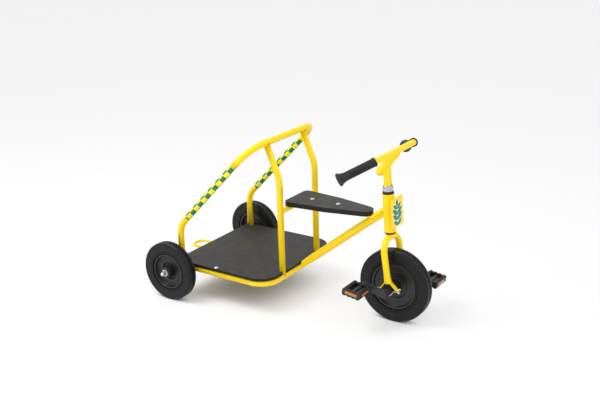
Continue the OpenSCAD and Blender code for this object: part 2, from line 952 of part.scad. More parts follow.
tyre_ridge = 1.7;
tyre_round = 0.36;

// Section of a solid tyre: radius along X, width along Y
module tyre_section(rim_r, outer_r, w, ridge_r) {
    shoulder = w * tyre_round;
    translate([rim_r, -w / 2]) square([outer_r - shoulder - rim_r, w]);
    translate([rim_r, -w / 2 + shoulder]) square([outer_r - rim_r, w - 2 * shoulder]);
    for (y = [-1, 1]) {
        translate([outer_r - shoulder, y * (w / 2 - shoulder)]) circle(r = shoulder);
        translate([ridge_r, y * w / 2]) circle(r = tyre_ridge);
    }
}

// Sizes of the rims: the hub's edge is eased, and the web steps between its thin and its thick part
hub_ease = 2;
web_ease = 3;
lip_ease = 4;
web_t = 6;
rear_hub_r = 24;
rear_recess_r = 36;
rear_dish_r = rear_rim_r - 7;
rear_lip_half = rear_tyre_w / 2 - 2;
front_hub_r = 26;
front_recess_r = 52;
front_recess_y = 4;
front_web_y = 9;
front_dish_r = front_rim_r - 8;
front_dish_y = 11;
front_lip_half = front_tyre_w / 2 - 3;

// Section of a dished rear rim. The web steps out from a recess round the hub towards the lip
module rear_rim_section() {
    bore = rear_bush_d / 2;
    polygon([
        [bore, -hub_inner], [rear_hub_r, -hub_inner], [rear_hub_r + hub_ease, -web_t],
        [rear_recess_r, -web_t], [rear_recess_r + web_ease, 0], [rear_dish_r - lip_ease, 0],
        [rear_dish_r, -rear_lip_half],
        [rear_rim_r, -rear_lip_half], [rear_rim_r, rear_lip_half], [rear_dish_r, rear_lip_half],
        [rear_dish_r - lip_ease, web_t], [rear_recess_r + web_ease, web_t], [rear_recess_r, 0],
        [rear_hub_r + hub_ease, 0], [rear_hub_r, hub_outer], [bore, hub_outer]
    ]);
}

// Half of the section of the front rim, from the tyre's middle plane outwards
module front_rim_section() {
    bore = crank_axle_d / 2;
    outer = [
        [bore, front_hub_half], [front_hub_r, front_hub_half],
        [front_hub_r + hub_ease, front_recess_y], [front_recess_r, front_recess_y],
        [front_recess_r + web_ease, front_web_y], [front_dish_r - lip_ease, front_dish_y],
        [front_dish_r, front_lip_half], [front_rim_r, front_lip_half]
    ];
    polygon(concat([for (p = outer) flip(p)], [for (i = [len(outer) - 1:-1:0]) outer[i]]));
}

module front_axle_place() {
    translate([wheelbase, 0, front_r]) rotate([-90, 0, 0]) children();
}

ridge_out = 6;
front_ridge_r = front_rim_r + ridge_out;
rear_ridge_r = rear_rim_r + ridge_out;
bush_wall = 3;
rear_bush_d = rear_axle_d + 2 * bush_wall;
rear_bush_len = 18;
front_hub_half = fork_half_low - bearing_w / 2 - face_gap;

module front_tyre() color(rubber_black) place() front_axle_place()
    rotate_extrude() tyre_section(front_rim_r, front_r, front_tyre_w, front_ridge_r);

module front_rim() color(plastic_black) place() front_axle_place()
    rotate_extrude() front_rim_section();

module crank_axle() color(bright_steel) place() front_axle_place()
    cylinder(h = 2 * (crank_face - crank_cap), d = crank_axle_d, center = true);

module rear_tyre(side) color(rubber_black) place() rear_axle_side(side)
    translate([0, 0, track / 2])
        rotate_extrude() tyre_section(rear_rim_r, rear_r, rear_tyre_w, rear_ridge_r);

module rear_rim(side) color(plastic_black) place() rear_axle_side(side)
    translate([0, 0, track / 2])
        rotate_extrude() rear_rim_section();

module rear_bushes(side) color(bright_steel) place() rear_axle_side(side)
    for (start = [track / 2 - hub_inner, track / 2 + hub_outer - rear_bush_len])
        translate([0, 0, start])
            difference() {
                cylinder(h = rear_bush_len, d = rear_bush_d);
                translate([0, 0, -reach])
                    cylinder(h = rear_bush_len + 2 * reach, r = rear_axle_d / 2 + run_gap);
            }

// ---- Cranks and pedals ----

crank_cap = 3;
crank_hub_r = 17;
crank_tip_r = 13;
crank_boss_d = 30;
spindle_root_d = 12;
pedal_gap = 11.5;
pedal_y = crank_face + pedal_gap;
cheek_t = 12;
tread_w = 16;
tread_corner = 4;
pedal_corner = 6;
barrel_d = 19;
tooth_h = 2.5;
bar_teeth = 6;
cheek_teeth = 4;
tooth_share = 0.5;
reflector_l = 54;
reflector_h = 13;
reflector_t = 3;

function crank_angle(side) = side > 0 ? crank_rest : 180 + crank_rest;

// The crank's own frame: +X runs from the axle to the pedal, +Y points outwards
module crank_place(side) {
    translate([wheelbase, 0, front_r]) scale_side(side) rotate([0, crank_angle(side), 0]) children();
}

module pedal_place(side) {
    a = crank_angle(side);
    translate([wheelbase + crank_len * cos(a), 0, front_r - crank_len * sin(a)])
        scale_side(side) rotate([0, pedal_pitch, 0]) children();
}

// Stands a flat outline on end so that it runs from y to y + w
module across(y, w) {
    translate([0, y + w, 0]) rotate([90, 0, 0]) linear_extrude(w) children();
}

module crank(side) color(plastic_black) place() crank_place(side)
    difference() {
        boss_y = fork_half_low + bearing_w / 2 + face_gap;
        union() {
            across(crank_face - crank_t, crank_t) taper_link(crank_len, crank_hub_r, crank_tip_r);
            across(boss_y, crank_face - boss_y - reach) circle(d = crank_boss_d);
        }
        across(0, crank_face - crank_cap) circle(d = crank_axle_d);
        across(0, 2 * crank_face) translate([crank_len, 0]) circle(d = spindle_root_d);
    }

module pedal_spindle(side) color(bright_steel) place() crank_place(side)
    translate([crank_len, 0, 0]) {
        across(crank_face - crank_t, crank_t + pedal_gap - face_gap) circle(d = spindle_root_d);
        across(crank_face, pedal_gap + pedal_w - cheek_t) circle(d = spindle_d);
    }

// The three faces of a pedal that carry a reflector: front, back and outer end. Each child stands with its
// own X along the reflector, its Z up and its Y pointing into the pedal
module reflector_places() {
    for (x = [-1, 1])
        translate([x * pedal_l / 2, pedal_y + pedal_w / 2, 0]) rotate([0, 0, x * 90]) children();
    translate([0, pedal_y + pedal_w, 0]) rotate([0, 0, 180]) children();
}

// Row of gripping teeth on both faces of a pedal: count of them spread over a length along X
module teeth(count, length, w) {
    pitch = length / count;
    for (i = [0:count - 1], face = [-1, 1])
        translate([(i + 0.5) * pitch - length / 2, 0, face * (pedal_t - tooth_h) / 2])
            cube([pitch * tooth_share, w, tooth_h], center = true);
}

module pedal(side) color(rubber_black) place() pedal_place(side)
    difference() {
        core_h = pedal_t - 2 * tooth_h;
        tread_x = (pedal_l - tread_w) / 2;
        inside_w = pedal_w - 2 * cheek_t;
        union() {
            for (y = [0, pedal_w - cheek_t]) {
                across(pedal_y + y, cheek_t) round_rect(pedal_l, core_h, pedal_corner);
                translate([0, pedal_y + y + cheek_t / 2, 0])
                    teeth(cheek_teeth, pedal_l, cheek_t - 2 * bolt_room);
            }
            for (x = [-tread_x, tread_x]) {
                across(pedal_y, pedal_w) translate([x, 0]) round_rect(tread_w, core_h, tread_corner);
                translate([x, pedal_y + pedal_w / 2, 0])
                    rotate([0, 0, 90]) teeth(bar_teeth, inside_w, tread_w - 2 * tread_corner);
            }
            across(pedal_y, pedal_w) circle(d = barrel_d);
        }
        across(0, pedal_y + pedal_w - cheek_t + reach) circle(r = spindle_d / 2 + run_gap);
        reflector_places() cube([reflector_l, 2 * reflector_t, reflector_h], center = true);
    }

module pedal_reflectors(side) color(amber) place() pedal_place(side)
    reflector_places()
        translate([0, reflector_t / 2, 0])
            cube([reflector_l - 2 * bolt_room, reflector_t, reflector_h - 2 * bolt_room], center = true);

base_rail();
rear_axle_tube();
deck_spine();
tow_loop();
rear_hoop();
front_post(1);  // front_post_left
front_post(-1);  // front_post_right
seat_cross_tube();
seat_bar();
main_tube();
head_tube();
head_plate();
deck_board();
deck_bolts();
deck_nuts();
seat_board();
seat_bolts();
seat_nuts();
lower_head_bush();
upper_head_bush();
rear_axle();
axle_spacers();
axle_washers();
axle_nuts();
fork();
crown_race();
locknut();
handlebar();
grip(1);  // grip_left
grip(-1);  // grip_right
axle_bearing(1);  // axle_bearing_left
axle_bearing(-1);  // axle_bearing_right
bearing_strap(1);  // bearing_strap_left
bearing_strap(-1);  // bearing_strap_right
strap_bolts();
strap_nuts();
front_tyre();
front_rim();
crank_axle();
crank(1);  // crank_left
crank(-1);  // crank_right
pedal_spindle(1);  // pedal_spindle_left
pedal_spindle(-1);  // pedal_spindle_right
pedal(1);  // pedal_left
pedal(-1);  // pedal_right
pedal_reflectors(1);  // pedal_reflectors_left
pedal_reflectors(-1);  // pedal_reflectors_right
rear_tyre(1);  // rear_tyre_left
rear_tyre(-1);  // rear_tyre_right
rear_rim(1);  // rear_rim_left
rear_rim(-1);  // rear_rim_right
rear_bushes(1);  // rear_bushes_left
rear_bushes(-1);  // rear_bushes_right
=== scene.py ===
"""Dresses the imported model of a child's tricycle: paint, welds, rubber, boards, bolts, tape and light.

Metres. +X runs forward, +Y to the rider's left and +Z up, and the tyres stand on Z = 0.
"""

from __future__ import annotations

import json
import logging
import math
from dataclasses import dataclass
from enum import Enum
from functools import cache
from typing import Callable, Sequence

import bmesh
import bpy
import numpy as np
from mathutils import Matrix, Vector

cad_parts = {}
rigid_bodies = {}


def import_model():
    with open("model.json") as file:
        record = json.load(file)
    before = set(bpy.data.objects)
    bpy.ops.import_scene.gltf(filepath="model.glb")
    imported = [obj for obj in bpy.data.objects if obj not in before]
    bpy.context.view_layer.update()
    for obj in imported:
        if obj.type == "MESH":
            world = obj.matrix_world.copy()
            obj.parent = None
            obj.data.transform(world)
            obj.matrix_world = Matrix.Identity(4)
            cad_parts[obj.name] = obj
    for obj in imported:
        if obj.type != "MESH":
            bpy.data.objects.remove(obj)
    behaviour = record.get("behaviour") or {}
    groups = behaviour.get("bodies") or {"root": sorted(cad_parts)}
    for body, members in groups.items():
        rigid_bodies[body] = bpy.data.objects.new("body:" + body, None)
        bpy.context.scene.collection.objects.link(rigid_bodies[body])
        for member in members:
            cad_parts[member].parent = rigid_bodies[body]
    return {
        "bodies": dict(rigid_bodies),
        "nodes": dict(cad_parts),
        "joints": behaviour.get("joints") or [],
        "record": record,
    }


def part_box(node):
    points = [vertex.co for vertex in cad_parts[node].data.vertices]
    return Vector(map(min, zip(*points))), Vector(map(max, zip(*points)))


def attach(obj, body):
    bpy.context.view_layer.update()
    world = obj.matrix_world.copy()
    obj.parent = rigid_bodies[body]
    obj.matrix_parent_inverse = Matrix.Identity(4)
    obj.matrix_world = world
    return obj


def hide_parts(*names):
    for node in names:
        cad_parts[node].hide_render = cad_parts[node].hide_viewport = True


log = logging.getLogger("tricycle")

Array = np.ndarray
Pair = tuple[float, float]
Triple = tuple[float, float, float]
Colour = Triple
Relief = Callable[[Array, Array], Array]
Piece = bpy.types.Object
Socket = bpy.types.NodeSocket
Inputs = dict[str | int, object]

MM = 0.001
TURN = 2 * math.pi

DETAIL = 3.0
CLOUD_RANGE = (0.3, 0.7)
GLOSS_FINER = 5
COAT_ROUGH = 0.06
# Hollows that a finish's reach finds: the first range and the near-black colour paint shade into its colour;
# the second range and the added roughness make it duller.
HOLLOW_PAINTED_SHADE = (0.45, 0.95)
HOLLOW_DULL = (0.35, 0.95)
HOLLOW_ROUGHER = 0.5
PAINTED_SHADE_COLOUR = (3, 3, 4)

SAME_PLACE = 0.004 * MM
CAD_SAME_PLACE = 0.01 * MM
CAD_FLAT_DEG = 0.5
CAD_SHARP_DEG = 32.0
EDGE_DEG = 35.0
EDGE_STEPS = 3
LONGEST_CUT = 0.49
NEARLY_STRAIGHT = 0.01
WHEEL_STEPS = 144
WELD_TURN = np.linspace(0, TURN, 96, endpoint=False)


class Side(Enum):
    """Which side of the tricycle, as the sign of Y."""

    LEFT = 1
    RIGHT = -1

    @property
    def word(self) -> str:
        """The side's name as the nodes spell it."""
        return self.name.lower()


# ---------------------------------------------------------------- geometry


def unit(v: Array) -> Array:
    """Returns the vector at length one."""
    return v / np.linalg.norm(v)


def vec(*parts: float) -> Array:
    """Returns a vector from its parts."""
    return np.array(parts, float)


def limits(node: str) -> tuple[Array, Array]:
    """Lowest and highest corner of a CAD node at rest."""
    low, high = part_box(node)
    return np.array(low), np.array(high)


def middle_half(node: str) -> tuple[Array, Array]:
    """Middle and half size of a CAD node's box at rest."""
    low, high = limits(node)
    return (low + high) / 2, (high - low) / 2


@dataclass(frozen=True)
class Place:
    """Where a round shape stands: a point, the axis through it, and two directions square to the axis."""

    origin: Array
    axis: Array
    side: Array
    up: Array

    @classmethod
    def on_axis(cls, origin: Array, axis: Array, start: Array | None = None) -> Place:
        """Makes a place from a point and an axis.

        Args:
            origin: A point on the axis.
            axis: The axis, of any length.
            start: A direction that turn 0 faces, or None for a level one.

        Returns:
            The place.
        """
        along = unit(axis)
        if start is None:
            hint = vec(0, 0, 1) if abs(along[2]) < 0.9 else vec(1, 0, 0)
            side = unit(np.cross(hint, along))
        else:
            side = unit(start - (start @ along) * along)
        return cls(origin, along, side, np.cross(along, side))

    def circle(self, turn: Array) -> Array:
        """Unit directions round the axis: cos(turn) * side + sin(turn) * up."""
        return np.cos(turn)[..., None] * self.side + np.sin(turn)[..., None] * self.up

    def point(self, x: Array, y: Array, z: Array) -> Array:
        """Points given along the side, the up and the axis directions."""
        return self.origin + x[..., None] * self.side + y[..., None] * self.up + z[..., None] * self.axis


@dataclass(frozen=True)
class Tube:
    """A straight stretch of round tube between two points on its centre line."""

    start: Array
    end: Array
    radius: float

    @property
    def way(self) -> Array:
        """Direction from the start to the end."""
        return unit(self.end - self.start)

    def turned(self) -> Tube:
        """The same tube, from its end to its start."""
        return Tube(self.end, self.start, self.radius)


@dataclass(frozen=True)
class Surface:
    """A mesh of four-sided faces, with a UV pair for each corner of each face where a pattern needs it."""

    points: Array
    faces: Array
    uvs: Array | None = None

    def object(self, name: str, finish: Finish, sharp_deg: float = 40.0, weld: bool = False) -> Piece:
        """Makes the scene's object.

        Args:
            name: The piece's name.
            finish: Its finish.
            sharp_deg: Faces that meet at more than this angle keep a hard edge.
            weld: Whether points in one place are merged, as at a pole.

        Returns:
            The object, linked to the scene.
        """
        mesh = bpy.data.meshes.new(name)
        corners = self.faces.shape[1]
        mesh.vertices.add(len(self.points))
        mesh.vertices.foreach_set("co", np.ascontiguousarray(self.points, float).ravel())
        mesh.loops.add(self.faces.size)
        mesh.loops.foreach_set("vertex_index", self.faces.ravel().astype(np.int32))
        mesh.polygons.add(len(self.faces))
        mesh.polygons.foreach_set("loop_start", np.arange(0, self.faces.size, corners, dtype=np.int32))
        if self.uvs is not None:
            mesh.uv_layers.new(name="UVMap").data.foreach_set("uv", self.uvs.ravel())
        mesh.update(calc_edges=True)
        if weld:
            merge_points(mesh)
        return finish_mesh(name, mesh, finish, sharp_deg)


def join(surfaces: Sequence[Surface]) -> Surface:
    """Joins surfaces without UVs into one.

    Args:
        surfaces: The surfaces.

    Returns:
        One surface, with their points and faces in order.
    """
    starts = np.cumsum([0] + [len(one.points) for one in surfaces[:-1]])
    faces = [one.faces + start for one, start in zip(surfaces, starts)]
    return Surface(np.vstack([one.points for one in surfaces]), np.vstack(faces))


def merge_points(mesh: bpy.types.Mesh, reach: float = SAME_PLACE, flat_deg: float = 0.0) -> None:
    """Merges the mesh's points that lie in one place.

    Args:
        mesh: The mesh.
        reach: How near the points are.
        flat_deg: Faces that meet at less than this angle become one, or 0 to leave them.
    """
    work = bmesh.new()
    work.from_mesh(mesh)
    bmesh.ops.remove_doubles(work, verts=work.verts, dist=reach)
    if flat_deg > 0:
        angle = math.radians(flat_deg)
        bmesh.ops.dissolve_limit(work, angle_limit=angle, verts=work.verts, edges=work.edges)
    work.to_mesh(mesh)
    work.free()


def finish_mesh(name: str, mesh: bpy.types.Mesh, finish: Finish, sharp_deg: float) -> Piece:
    """Smooths a mesh, gives it its finish and links its object.

    Args:
        name: The object's name.
        mesh: The mesh.
        finish: Its finish.
        sharp_deg: Faces that meet at more than this angle keep a hard edge.

    Returns:
        The object.
    """
    mesh.polygons.foreach_set("use_smooth", np.ones(len(mesh.polygons), bool))
    mesh.set_sharp_from_angle(angle=math.radians(sharp_deg))
    mesh.materials.clear()
    mesh.materials.append(finish.material())
    piece = bpy.data.objects.new(name, mesh)
    bpy.context.scene.collection.objects.link(piece)
    return piece


def grid_faces(rows: int, cols: int, close_rows: bool) -> Array:
    """Four-sided faces over a grid of points that are numbered row * cols + col, with the columns closed.

    Args:
        rows: Number of rows.
        cols: Number of columns. The last joins the first.
        close_rows: Whether the last row joins the first.

    Returns:
        Four point numbers for each face.
    """
    rr, cc = np.meshgrid(np.arange(rows if close_rows else rows - 1), np.arange(cols), indexing="ij")
    nr, nc = (rr + 1) % rows, (cc + 1) % cols
    return np.stack([rr * cols + cc, rr * cols + nc, nr * cols + nc, nr * cols + cc], -1).reshape(-1, 4)


def wrap_uvs(row_v: Array, steps: int) -> Array:
    """UVs for the faces of a closed profile turned through closed steps.

    The U of a corner is its step over the number of steps, and runs to 1 at the seam. Its V is its row's.

    Args:
        row_v: One V for each profile row.
        steps: Steps in the turn.

    Returns:
        Four UV pairs for each face, in the order of grid_faces.
    """
    rr, cc = np.meshgrid(np.arange(len(row_v)), np.arange(steps), indexing="ij")
    v0, v1 = row_v[rr], row_v[(rr + 1) % len(row_v)]
    u0, u1 = cc / steps, (cc + 1) / steps
    return np.stack([np.stack(p, -1) for p in ((u0, v0), (u1, v0), (u1, v1), (u0, v1))], -2).reshape(-1, 4, 2)


def revolve(
    profile: Array, place: Place, steps: int, relief: Relief | None = None, row_v: Array | None = None
) -> Surface:
    """Turns a closed profile round an axis.

    The point at turn t of a profile row (r, h) is
    origin + h * axis + (r + relief) * (cos t * side + sin t * up).

    Args:
        profile: Rows of radius and height along the axis, anticlockwise with the radius to the right.
        place: The axis.
        steps: Number of steps in a whole turn.
        relief: Gives what to add to the radius from the heights and the turns, or None.
        row_v: V for each row where the surface needs UVs, or None.

    Returns:
        The closed surface.
    """
    turn = np.linspace(0, TURN, steps, endpoint=False)
    r, h = profile[:, :1], profile[:, 1:]
    grown = r + (relief(h, turn[None, :]) if relief else np.zeros((1, steps)))
    points = place.origin + h[..., None] * place.axis + grown[..., None] * place.circle(turn)[None]
    uvs = None if row_v is None else wrap_uvs(row_v, steps)
    return Surface(points.reshape(-1, 3), grid_faces(len(profile), steps, True), uvs)


def sweep(path: Array, radius: Array, sides: int) -> Surface:
    """Carries a circle along a path that closes on itself.

    A point at turn t is path + radius * (cos t * out + sin t * third), where out faces away from the
    path's middle, and it and third are square to the path.

    Args:
        path: The path's points.
        radius: One radius for each point.
        sides: Sides of the circle.

    Returns:
        The surface.
    """
    ahead = np.roll(path, -1, 0) - np.roll(path, 1, 0)
    ahead /= np.linalg.norm(ahead, axis=1, keepdims=True)
    out = path - path.mean(0)
    out -= (out * ahead).sum(1, keepdims=True) * ahead
    out /= np.linalg.norm(out, axis=1, keepdims=True)
    third = np.cross(ahead, out)
    turn = np.linspace(0, TURN, sides, endpoint=False)
    ring = np.cos(turn)[None, :, None] * out[:, None] + np.sin(turn)[None, :, None] * third[:, None]
    points = path[:, None] + radius[:, None, None] * ring
    return Surface(points.reshape(-1, 3), grid_faces(len(path), sides, True))


def rounded(corners: Sequence[Triple], arc_points: int) -> Array:
    """Rounds the corners of a closed outline.

    A corner of radius q that turns by a loses q * tan(a / 2) of each side, and its arc is centred on the
    line that halves the corner.

    Args:
        corners: Rows of x, y and the radius at that corner, in millimetres.
        arc_points: Points on each arc.

    Returns:
        The outline's points, in metres.
    """
    data = np.array(corners, float) * MM
    out: list[Array] = []
    for i, (x, y, q) in enumerate(data):
        here = vec(x, y)
        back, ahead = data[i - 1][:2] - here, data[(i + 1) % len(data)][:2] - here
        back_len, ahead_len = np.linalg.norm(back), np.linalg.norm(ahead)
        u, v = back / back_len, ahead / ahead_len
        half = math.acos(float(np.clip(u @ v, -1, 1))) / 2
        if q <= 0 or half > math.pi / 2 - NEARLY_STRAIGHT:
            out.append(here[None])
            continue
        cut = min(q / math.tan(half), LONGEST_CUT * back_len, LONGEST_CUT * ahead_len)
        q = cut * math.tan(half)
        centre = here + unit(u + v) * q / math.sin(half)
        a, b = here + u * cut - centre, here + v * cut - centre
        share = np.linspace(0, 1, arc_points)[:, None]
        spread = math.acos(float(np.clip(a @ b / (q * q), -1, 1)))
        arc = np.sin((1 - share) * spread) * a + np.sin(share * spread) * b
        out.append(centre + arc / math.sin(spread))
    return np.vstack(out)


def tube_on_tube(branch: Tube, run: Tube) -> Array:
    """The line where the surface of one straight tube meets another's.

    A point of the branch is start + s * way + radius * circle(t). Its distance from the run's centre line
    is the run's radius where a quadratic in s has a root. The root nearer to the branch's end is taken, and
    where the branch stands proud of the run there is none, so the nearest approach stands in for it.

    Args:
        branch: The tube that ends on the other. It points away from the run.
        run: The tube that it is welded to.

    Returns:
        A closed line.
    """
    place = Place.on_axis(branch.start, branch.way)
    ring = place.origin + branch.radius * place.circle(WELD_TURN)
    flat_way = branch.way - (branch.way @ run.way) * run.way
    off = ring - run.start
    flat_off = off - (off @ run.way)[:, None] * run.way
    a = flat_way @ flat_way
    b = flat_off @ flat_way
    c = (flat_off**2).sum(1) - run.radius**2
    root = np.sqrt(np.maximum(b * b - a * c, 0.0))
    return ring + ((root - b) / a)[:, None] * branch.way


# ---------------------------------------------------------------- finishes


def linear(colour: Colour) -> tuple[float, float, float, float]:
    """Turns a colour from 0 to 255 as seen on a screen into the light it stands for.

    A share s of the screen's scale is s / 12.92 below 0.04045, and ((s + 0.055) / 1.055) ** 2.4 above it.

    Args:
        colour: Its red, green and blue.

    Returns:
        Red, green, blue and 1 for the fourth channel.
    """
    s = np.array(colour, float) / 255
    out = np.where(s <= 0.04045, s / 12.92, ((s + 0.055) / 1.055) ** 2.4)
    return (float(out[0]), float(out[1]), float(out[2]), 1.0)


def add_node(tree: bpy.types.NodeTree, kind: str, inputs: Inputs, **settings: object) -> bpy.types.Node:
    """Adds a shader node.

    Args:
        tree: Where it goes.
        kind: Its type, without the prefix.
        inputs: What goes into its sockets: a value, or another node's output.
        settings: Its own settings.

    Returns:
        The node.
    """
    node = tree.nodes.new(f"ShaderNode{kind}")
    for key, value in settings.items():
        setattr(node, key, value)
    for key, value in inputs.items():
        if isinstance(value, Socket):
            tree.links.new(value, node.inputs[key])
        else:
            node.inputs[key].default_value = value
    return node


def looked_at(tree: bpy.types.NodeTree) -> Socket:
    """1 for what the eye, a mirror or glass sees, and 0 for light that only bounces on.

    Args:
        tree: The nodes that it is added to.

    Returns:
        The 1 or 0.
    """
    path = add_node(tree, "LightPath", {}).outputs
    found = path["Is Camera Ray"]
    for name in ("Is Glossy Ray", "Is Transmission Ray"):
        found = add_node(tree, "Math", {0: found, 1: path[name]}, operation="MAXIMUM").outputs[0]
    return found


class Recipe:
    """The nodes of one material, added one after another towards its shader."""

    def __init__(self, name: str, shader: dict[str, object]) -> None:
        """Starts a material.

        Args:
            name: Its name.
            shader: What is the same all over it, by the shader's socket names.
        """
        self.material = bpy.data.materials.new(name)
        self.material.use_nodes = True
        self.tree = self.material.node_tree
        self.shader = self.tree.nodes["Principled BSDF"]
        for socket, value in shader.items():
            self.shader.inputs[socket].default_value = value
        self.place: Socket = self.add("TexCoord", {}).outputs["Object"]

    def add(self, kind: str, inputs: Inputs, **settings: object) -> bpy.types.Node:
        """Adds a node, as add_node does."""
        return add_node(self.tree, kind, inputs, **settings)

    def cloud(self, scale: float, detail: float, stretch: Triple = (1, 1, 1)) -> Socket:
        """A soft random pattern.

        Args:
            scale: Patches per metre.
            detail: How many finer layers it has.
            stretch: Its scale along each axis.

        Returns:
            A number around one half.
        """
        where = self.add("Mapping", {"Vector": self.place, "Scale": stretch}).outputs[0]
        return self.add("TexNoise", {"Vector": where, "Scale": scale, "Detail": detail}).outputs[0]

    def cells(self, scale: float) -> Socket:
        """Distance from the nearest of many scattered points, with scale of them per metre."""
        return self.add("TexVoronoi", {"Vector": self.place, "Scale": scale}).outputs["Distance"]

    def span(self, value: Socket, low: float, high: float, start: float = 0.0, end: float = 1.0) -> Socket:
        """Stretches a value from low and high to start and end, held at both ends."""
        inputs = {"Value": value, "From Min": low, "From Max": high, "To Min": start, "To Max": end}
        return self.add("MapRange", inputs, clamp=True).outputs[0]

    def blend(self, share: Socket, a: object, b: object) -> Socket:
        """A colour between two others."""
        return self.add("Mix", {0: share, 6: a, 7: b}, data_type="RGBA").outputs[2]

    def maths(self, how: str, a: object, b: object = 0.0) -> Socket:
        """One operation on two numbers."""
        return self.add("Math", {0: a, 1: b}, operation=how).outputs[0]

    def relief(self, height: Socket, depth: float, under: Socket | None = None) -> Socket:
        """Tilts the surface as a height map does.

        Args:
            height: The height, from 0 to 1.
            depth: What a height of 1 stands for, in millimetres.
            under: The surface direction that this relief is added to, or None.

        Returns:
            The surface direction.
        """
        inputs: Inputs = {"Height": height, "Distance": depth * MM, "Strength": 1.0}
        if under is not None:
            inputs["Normal"] = under
        return self.add("Bump", inputs).outputs[0]

    def into(self, socket: str, value: Socket) -> None:
        """Joins a value to one of the shader's sockets."""
        self.tree.links.new(value, self.shader.inputs[socket])


@dataclass(frozen=True)
class Patches:
    """Scattered patches: 0 where a cloudy pattern is under low, and amount where it is over high."""

    scale: float
    detail: float
    low: float
    high: float
    amount: float
    stretch: Triple = (1, 1, 1)

    def share(self, recipe: Recipe) -> Socket:
        """How strong the patches are."""
        cloud = recipe.cloud(self.scale, self.detail, self.stretch)
        return recipe.span(cloud, self.low, self.high, 0.0, self.amount)


@dataclass(frozen=True)
class Waves:
    """A coarse relief: soft waves, or small cells where detail is 0. Its depth is in millimetres."""

    scale: float
    detail: float
    depth: float

    def over(self, recipe: Recipe, normal: Socket) -> Socket:
        """The surface direction with the relief added."""
        height = recipe.cloud(self.scale, self.detail) if self.detail else recipe.cells(self.scale)
        return recipe.relief(height, self.depth, normal)


@dataclass(frozen=True)
class Finish:
    """A finish: two close colours with a cloudy pattern between them, a range of gloss and a fine grain.

    Its depth and reach are in millimetres. Where reach is above 0, the finish is duller in hollows narrower
    than that, and painted shade darkens its colour there towards near black.
    """

    name: str
    colour: Colour
    other: Colour
    rough: Pair
    cloud: float
    grain: float
    depth: float
    coat: float = 0.0
    metal: float = 0.0
    sheen: float = 0.5
    reach: float = 0.0
    spots: Patches | None = None
    spot: Colour = (0, 0, 0)
    rub: Patches | None = None
    waves: Waves | None = None

    def shader(self) -> dict[str, object]:
        """What is the same all over the finish."""
        same = {"Metallic": self.metal, "Coat Weight": self.coat, "Coat Roughness": COAT_ROUGH}
        return same | {"Specular IOR Level": self.sheen}

    @cache
    def material(self) -> bpy.types.Material:
        """Makes the material, once.

        Returns:
            The material.
        """
        recipe = Recipe(self.name, self.shader())
        patch = recipe.span(recipe.cloud(self.cloud, DETAIL), *CLOUD_RANGE)
        colour = self.tint(recipe, recipe.blend(patch, linear(self.colour), linear(self.other)))
        gloss = recipe.span(recipe.cloud(self.cloud * GLOSS_FINER, DETAIL), *CLOUD_RANGE, *self.rough)
        if self.rub:
            gloss = recipe.maths("ADD", gloss, self.rub.share(recipe))
        if self.reach > 0:
            around = recipe.add("AmbientOcclusion", {"Distance": self.reach * MM}, samples=8).outputs["AO"]
            gloss = recipe.maths("ADD", gloss, recipe.span(around, *HOLLOW_DULL, HOLLOW_ROUGHER, 0.0))
            # Painted shade: the colour is blended towards near black where the occlusion finds a hollow.
            colour = recipe.blend(recipe.span(around, *HOLLOW_PAINTED_SHADE), linear(PAINTED_SHADE_COLOUR), colour)
        recipe.into("Base Color", colour)
        recipe.into("Roughness", gloss)
        grain = recipe.relief(recipe.cloud(self.grain, DETAIL), self.depth)
        recipe.into("Normal", self.surface(recipe, grain))
        return recipe.material

    def tint(self, recipe: Recipe, colour: Socket) -> Socket:
        """Adds what else the finish shows in its colour: its spots, where it has any."""
        return recipe.blend(self.spots.share(recipe), colour, linear(self.spot)) if self.spots else colour

    def surface(self, recipe: Recipe, normal: Socket) -> Socket:
        """Adds the finish's coarser relief, where it has one."""
        return self.waves.over(recipe, normal) if self.waves else normal


@dataclass(frozen=True)
class Enamel(Finish):
    """Baked enamel: a strong colour with faint ripples and fine rubbed streaks, under a clear skin."""

    coat: float = 0.1
    sheen: float = 0.3
    rub: Patches | None = Patches(60, 6.0, 0.62, 0.75, 0.12, (1, 1, 7))
    waves: Waves | None = Waves(110, 1.0, 0.012)


@dataclass(frozen=True)
class Board(Finish):
    """Film-faced plywood: a warm dark face with a fine pressed mesh and pale dust, and a black edge."""

    sheen: float = 0.35
    spots: Patches | None = Patches(38, 8.0, 0.55, 0.8, 0.3)
    spot: Colour = (84, 82, 78)
    edge: Colour = (13, 13, 14)
    face_range: Pair = (0.9, 0.98)
    press_range: Pair = (-0.6, 0.6)
    mesh_scale: float = 2.6 * MM
    mesh_depth: float = 0.07

    def tint(self, recipe: Recipe, colour: Socket) -> Socket:
        """The dusty face where the surface looks up or down, and the edge elsewhere.

        Args:
            recipe: The material's nodes.
            colour: The face's colour.

        Returns:
            The board's colour.
        """
        out = recipe.add("NewGeometry", {}).outputs["True Normal"]
        up = recipe.add("SeparateXYZ", {0: out}).outputs["Z"]
        face = recipe.span(recipe.maths("ABSOLUTE", up), *self.face_range)
        return recipe.blend(face, linear(self.edge), super().tint(recipe, colour))

    def surface(self, recipe: Recipe, normal: Socket) -> Socket:
        """Small pressed squares: the product of two sine waves, one along X and one along Y.

        Args:
            recipe: The material's nodes.
            normal: The surface direction so far.

        Returns:
            The surface direction.
        """
        where = recipe.add("SeparateXYZ", {0: recipe.place}).outputs
        turns = TURN / self.mesh_scale
        waves = [recipe.maths("SINE", recipe.maths("MULTIPLY", where[axis], turns)) for axis in "XY"]
        press = recipe.span(recipe.maths("MULTIPLY", *waves), *self.press_range)
        return recipe.relief(press, self.mesh_depth, normal)


@dataclass(frozen=True)
class Rubber(Finish):
    """Moulded rubber with pale scuffs in small patches and a faint unevenness from the mould."""

    sheen: float = 0.4
    spots: Patches | None = Patches(55, 9.0, 0.6, 0.78, 0.4)
    spot: Colour = (60, 59, 58)
    waves: Waves | None = Waves(220, 2.0, 0.05)


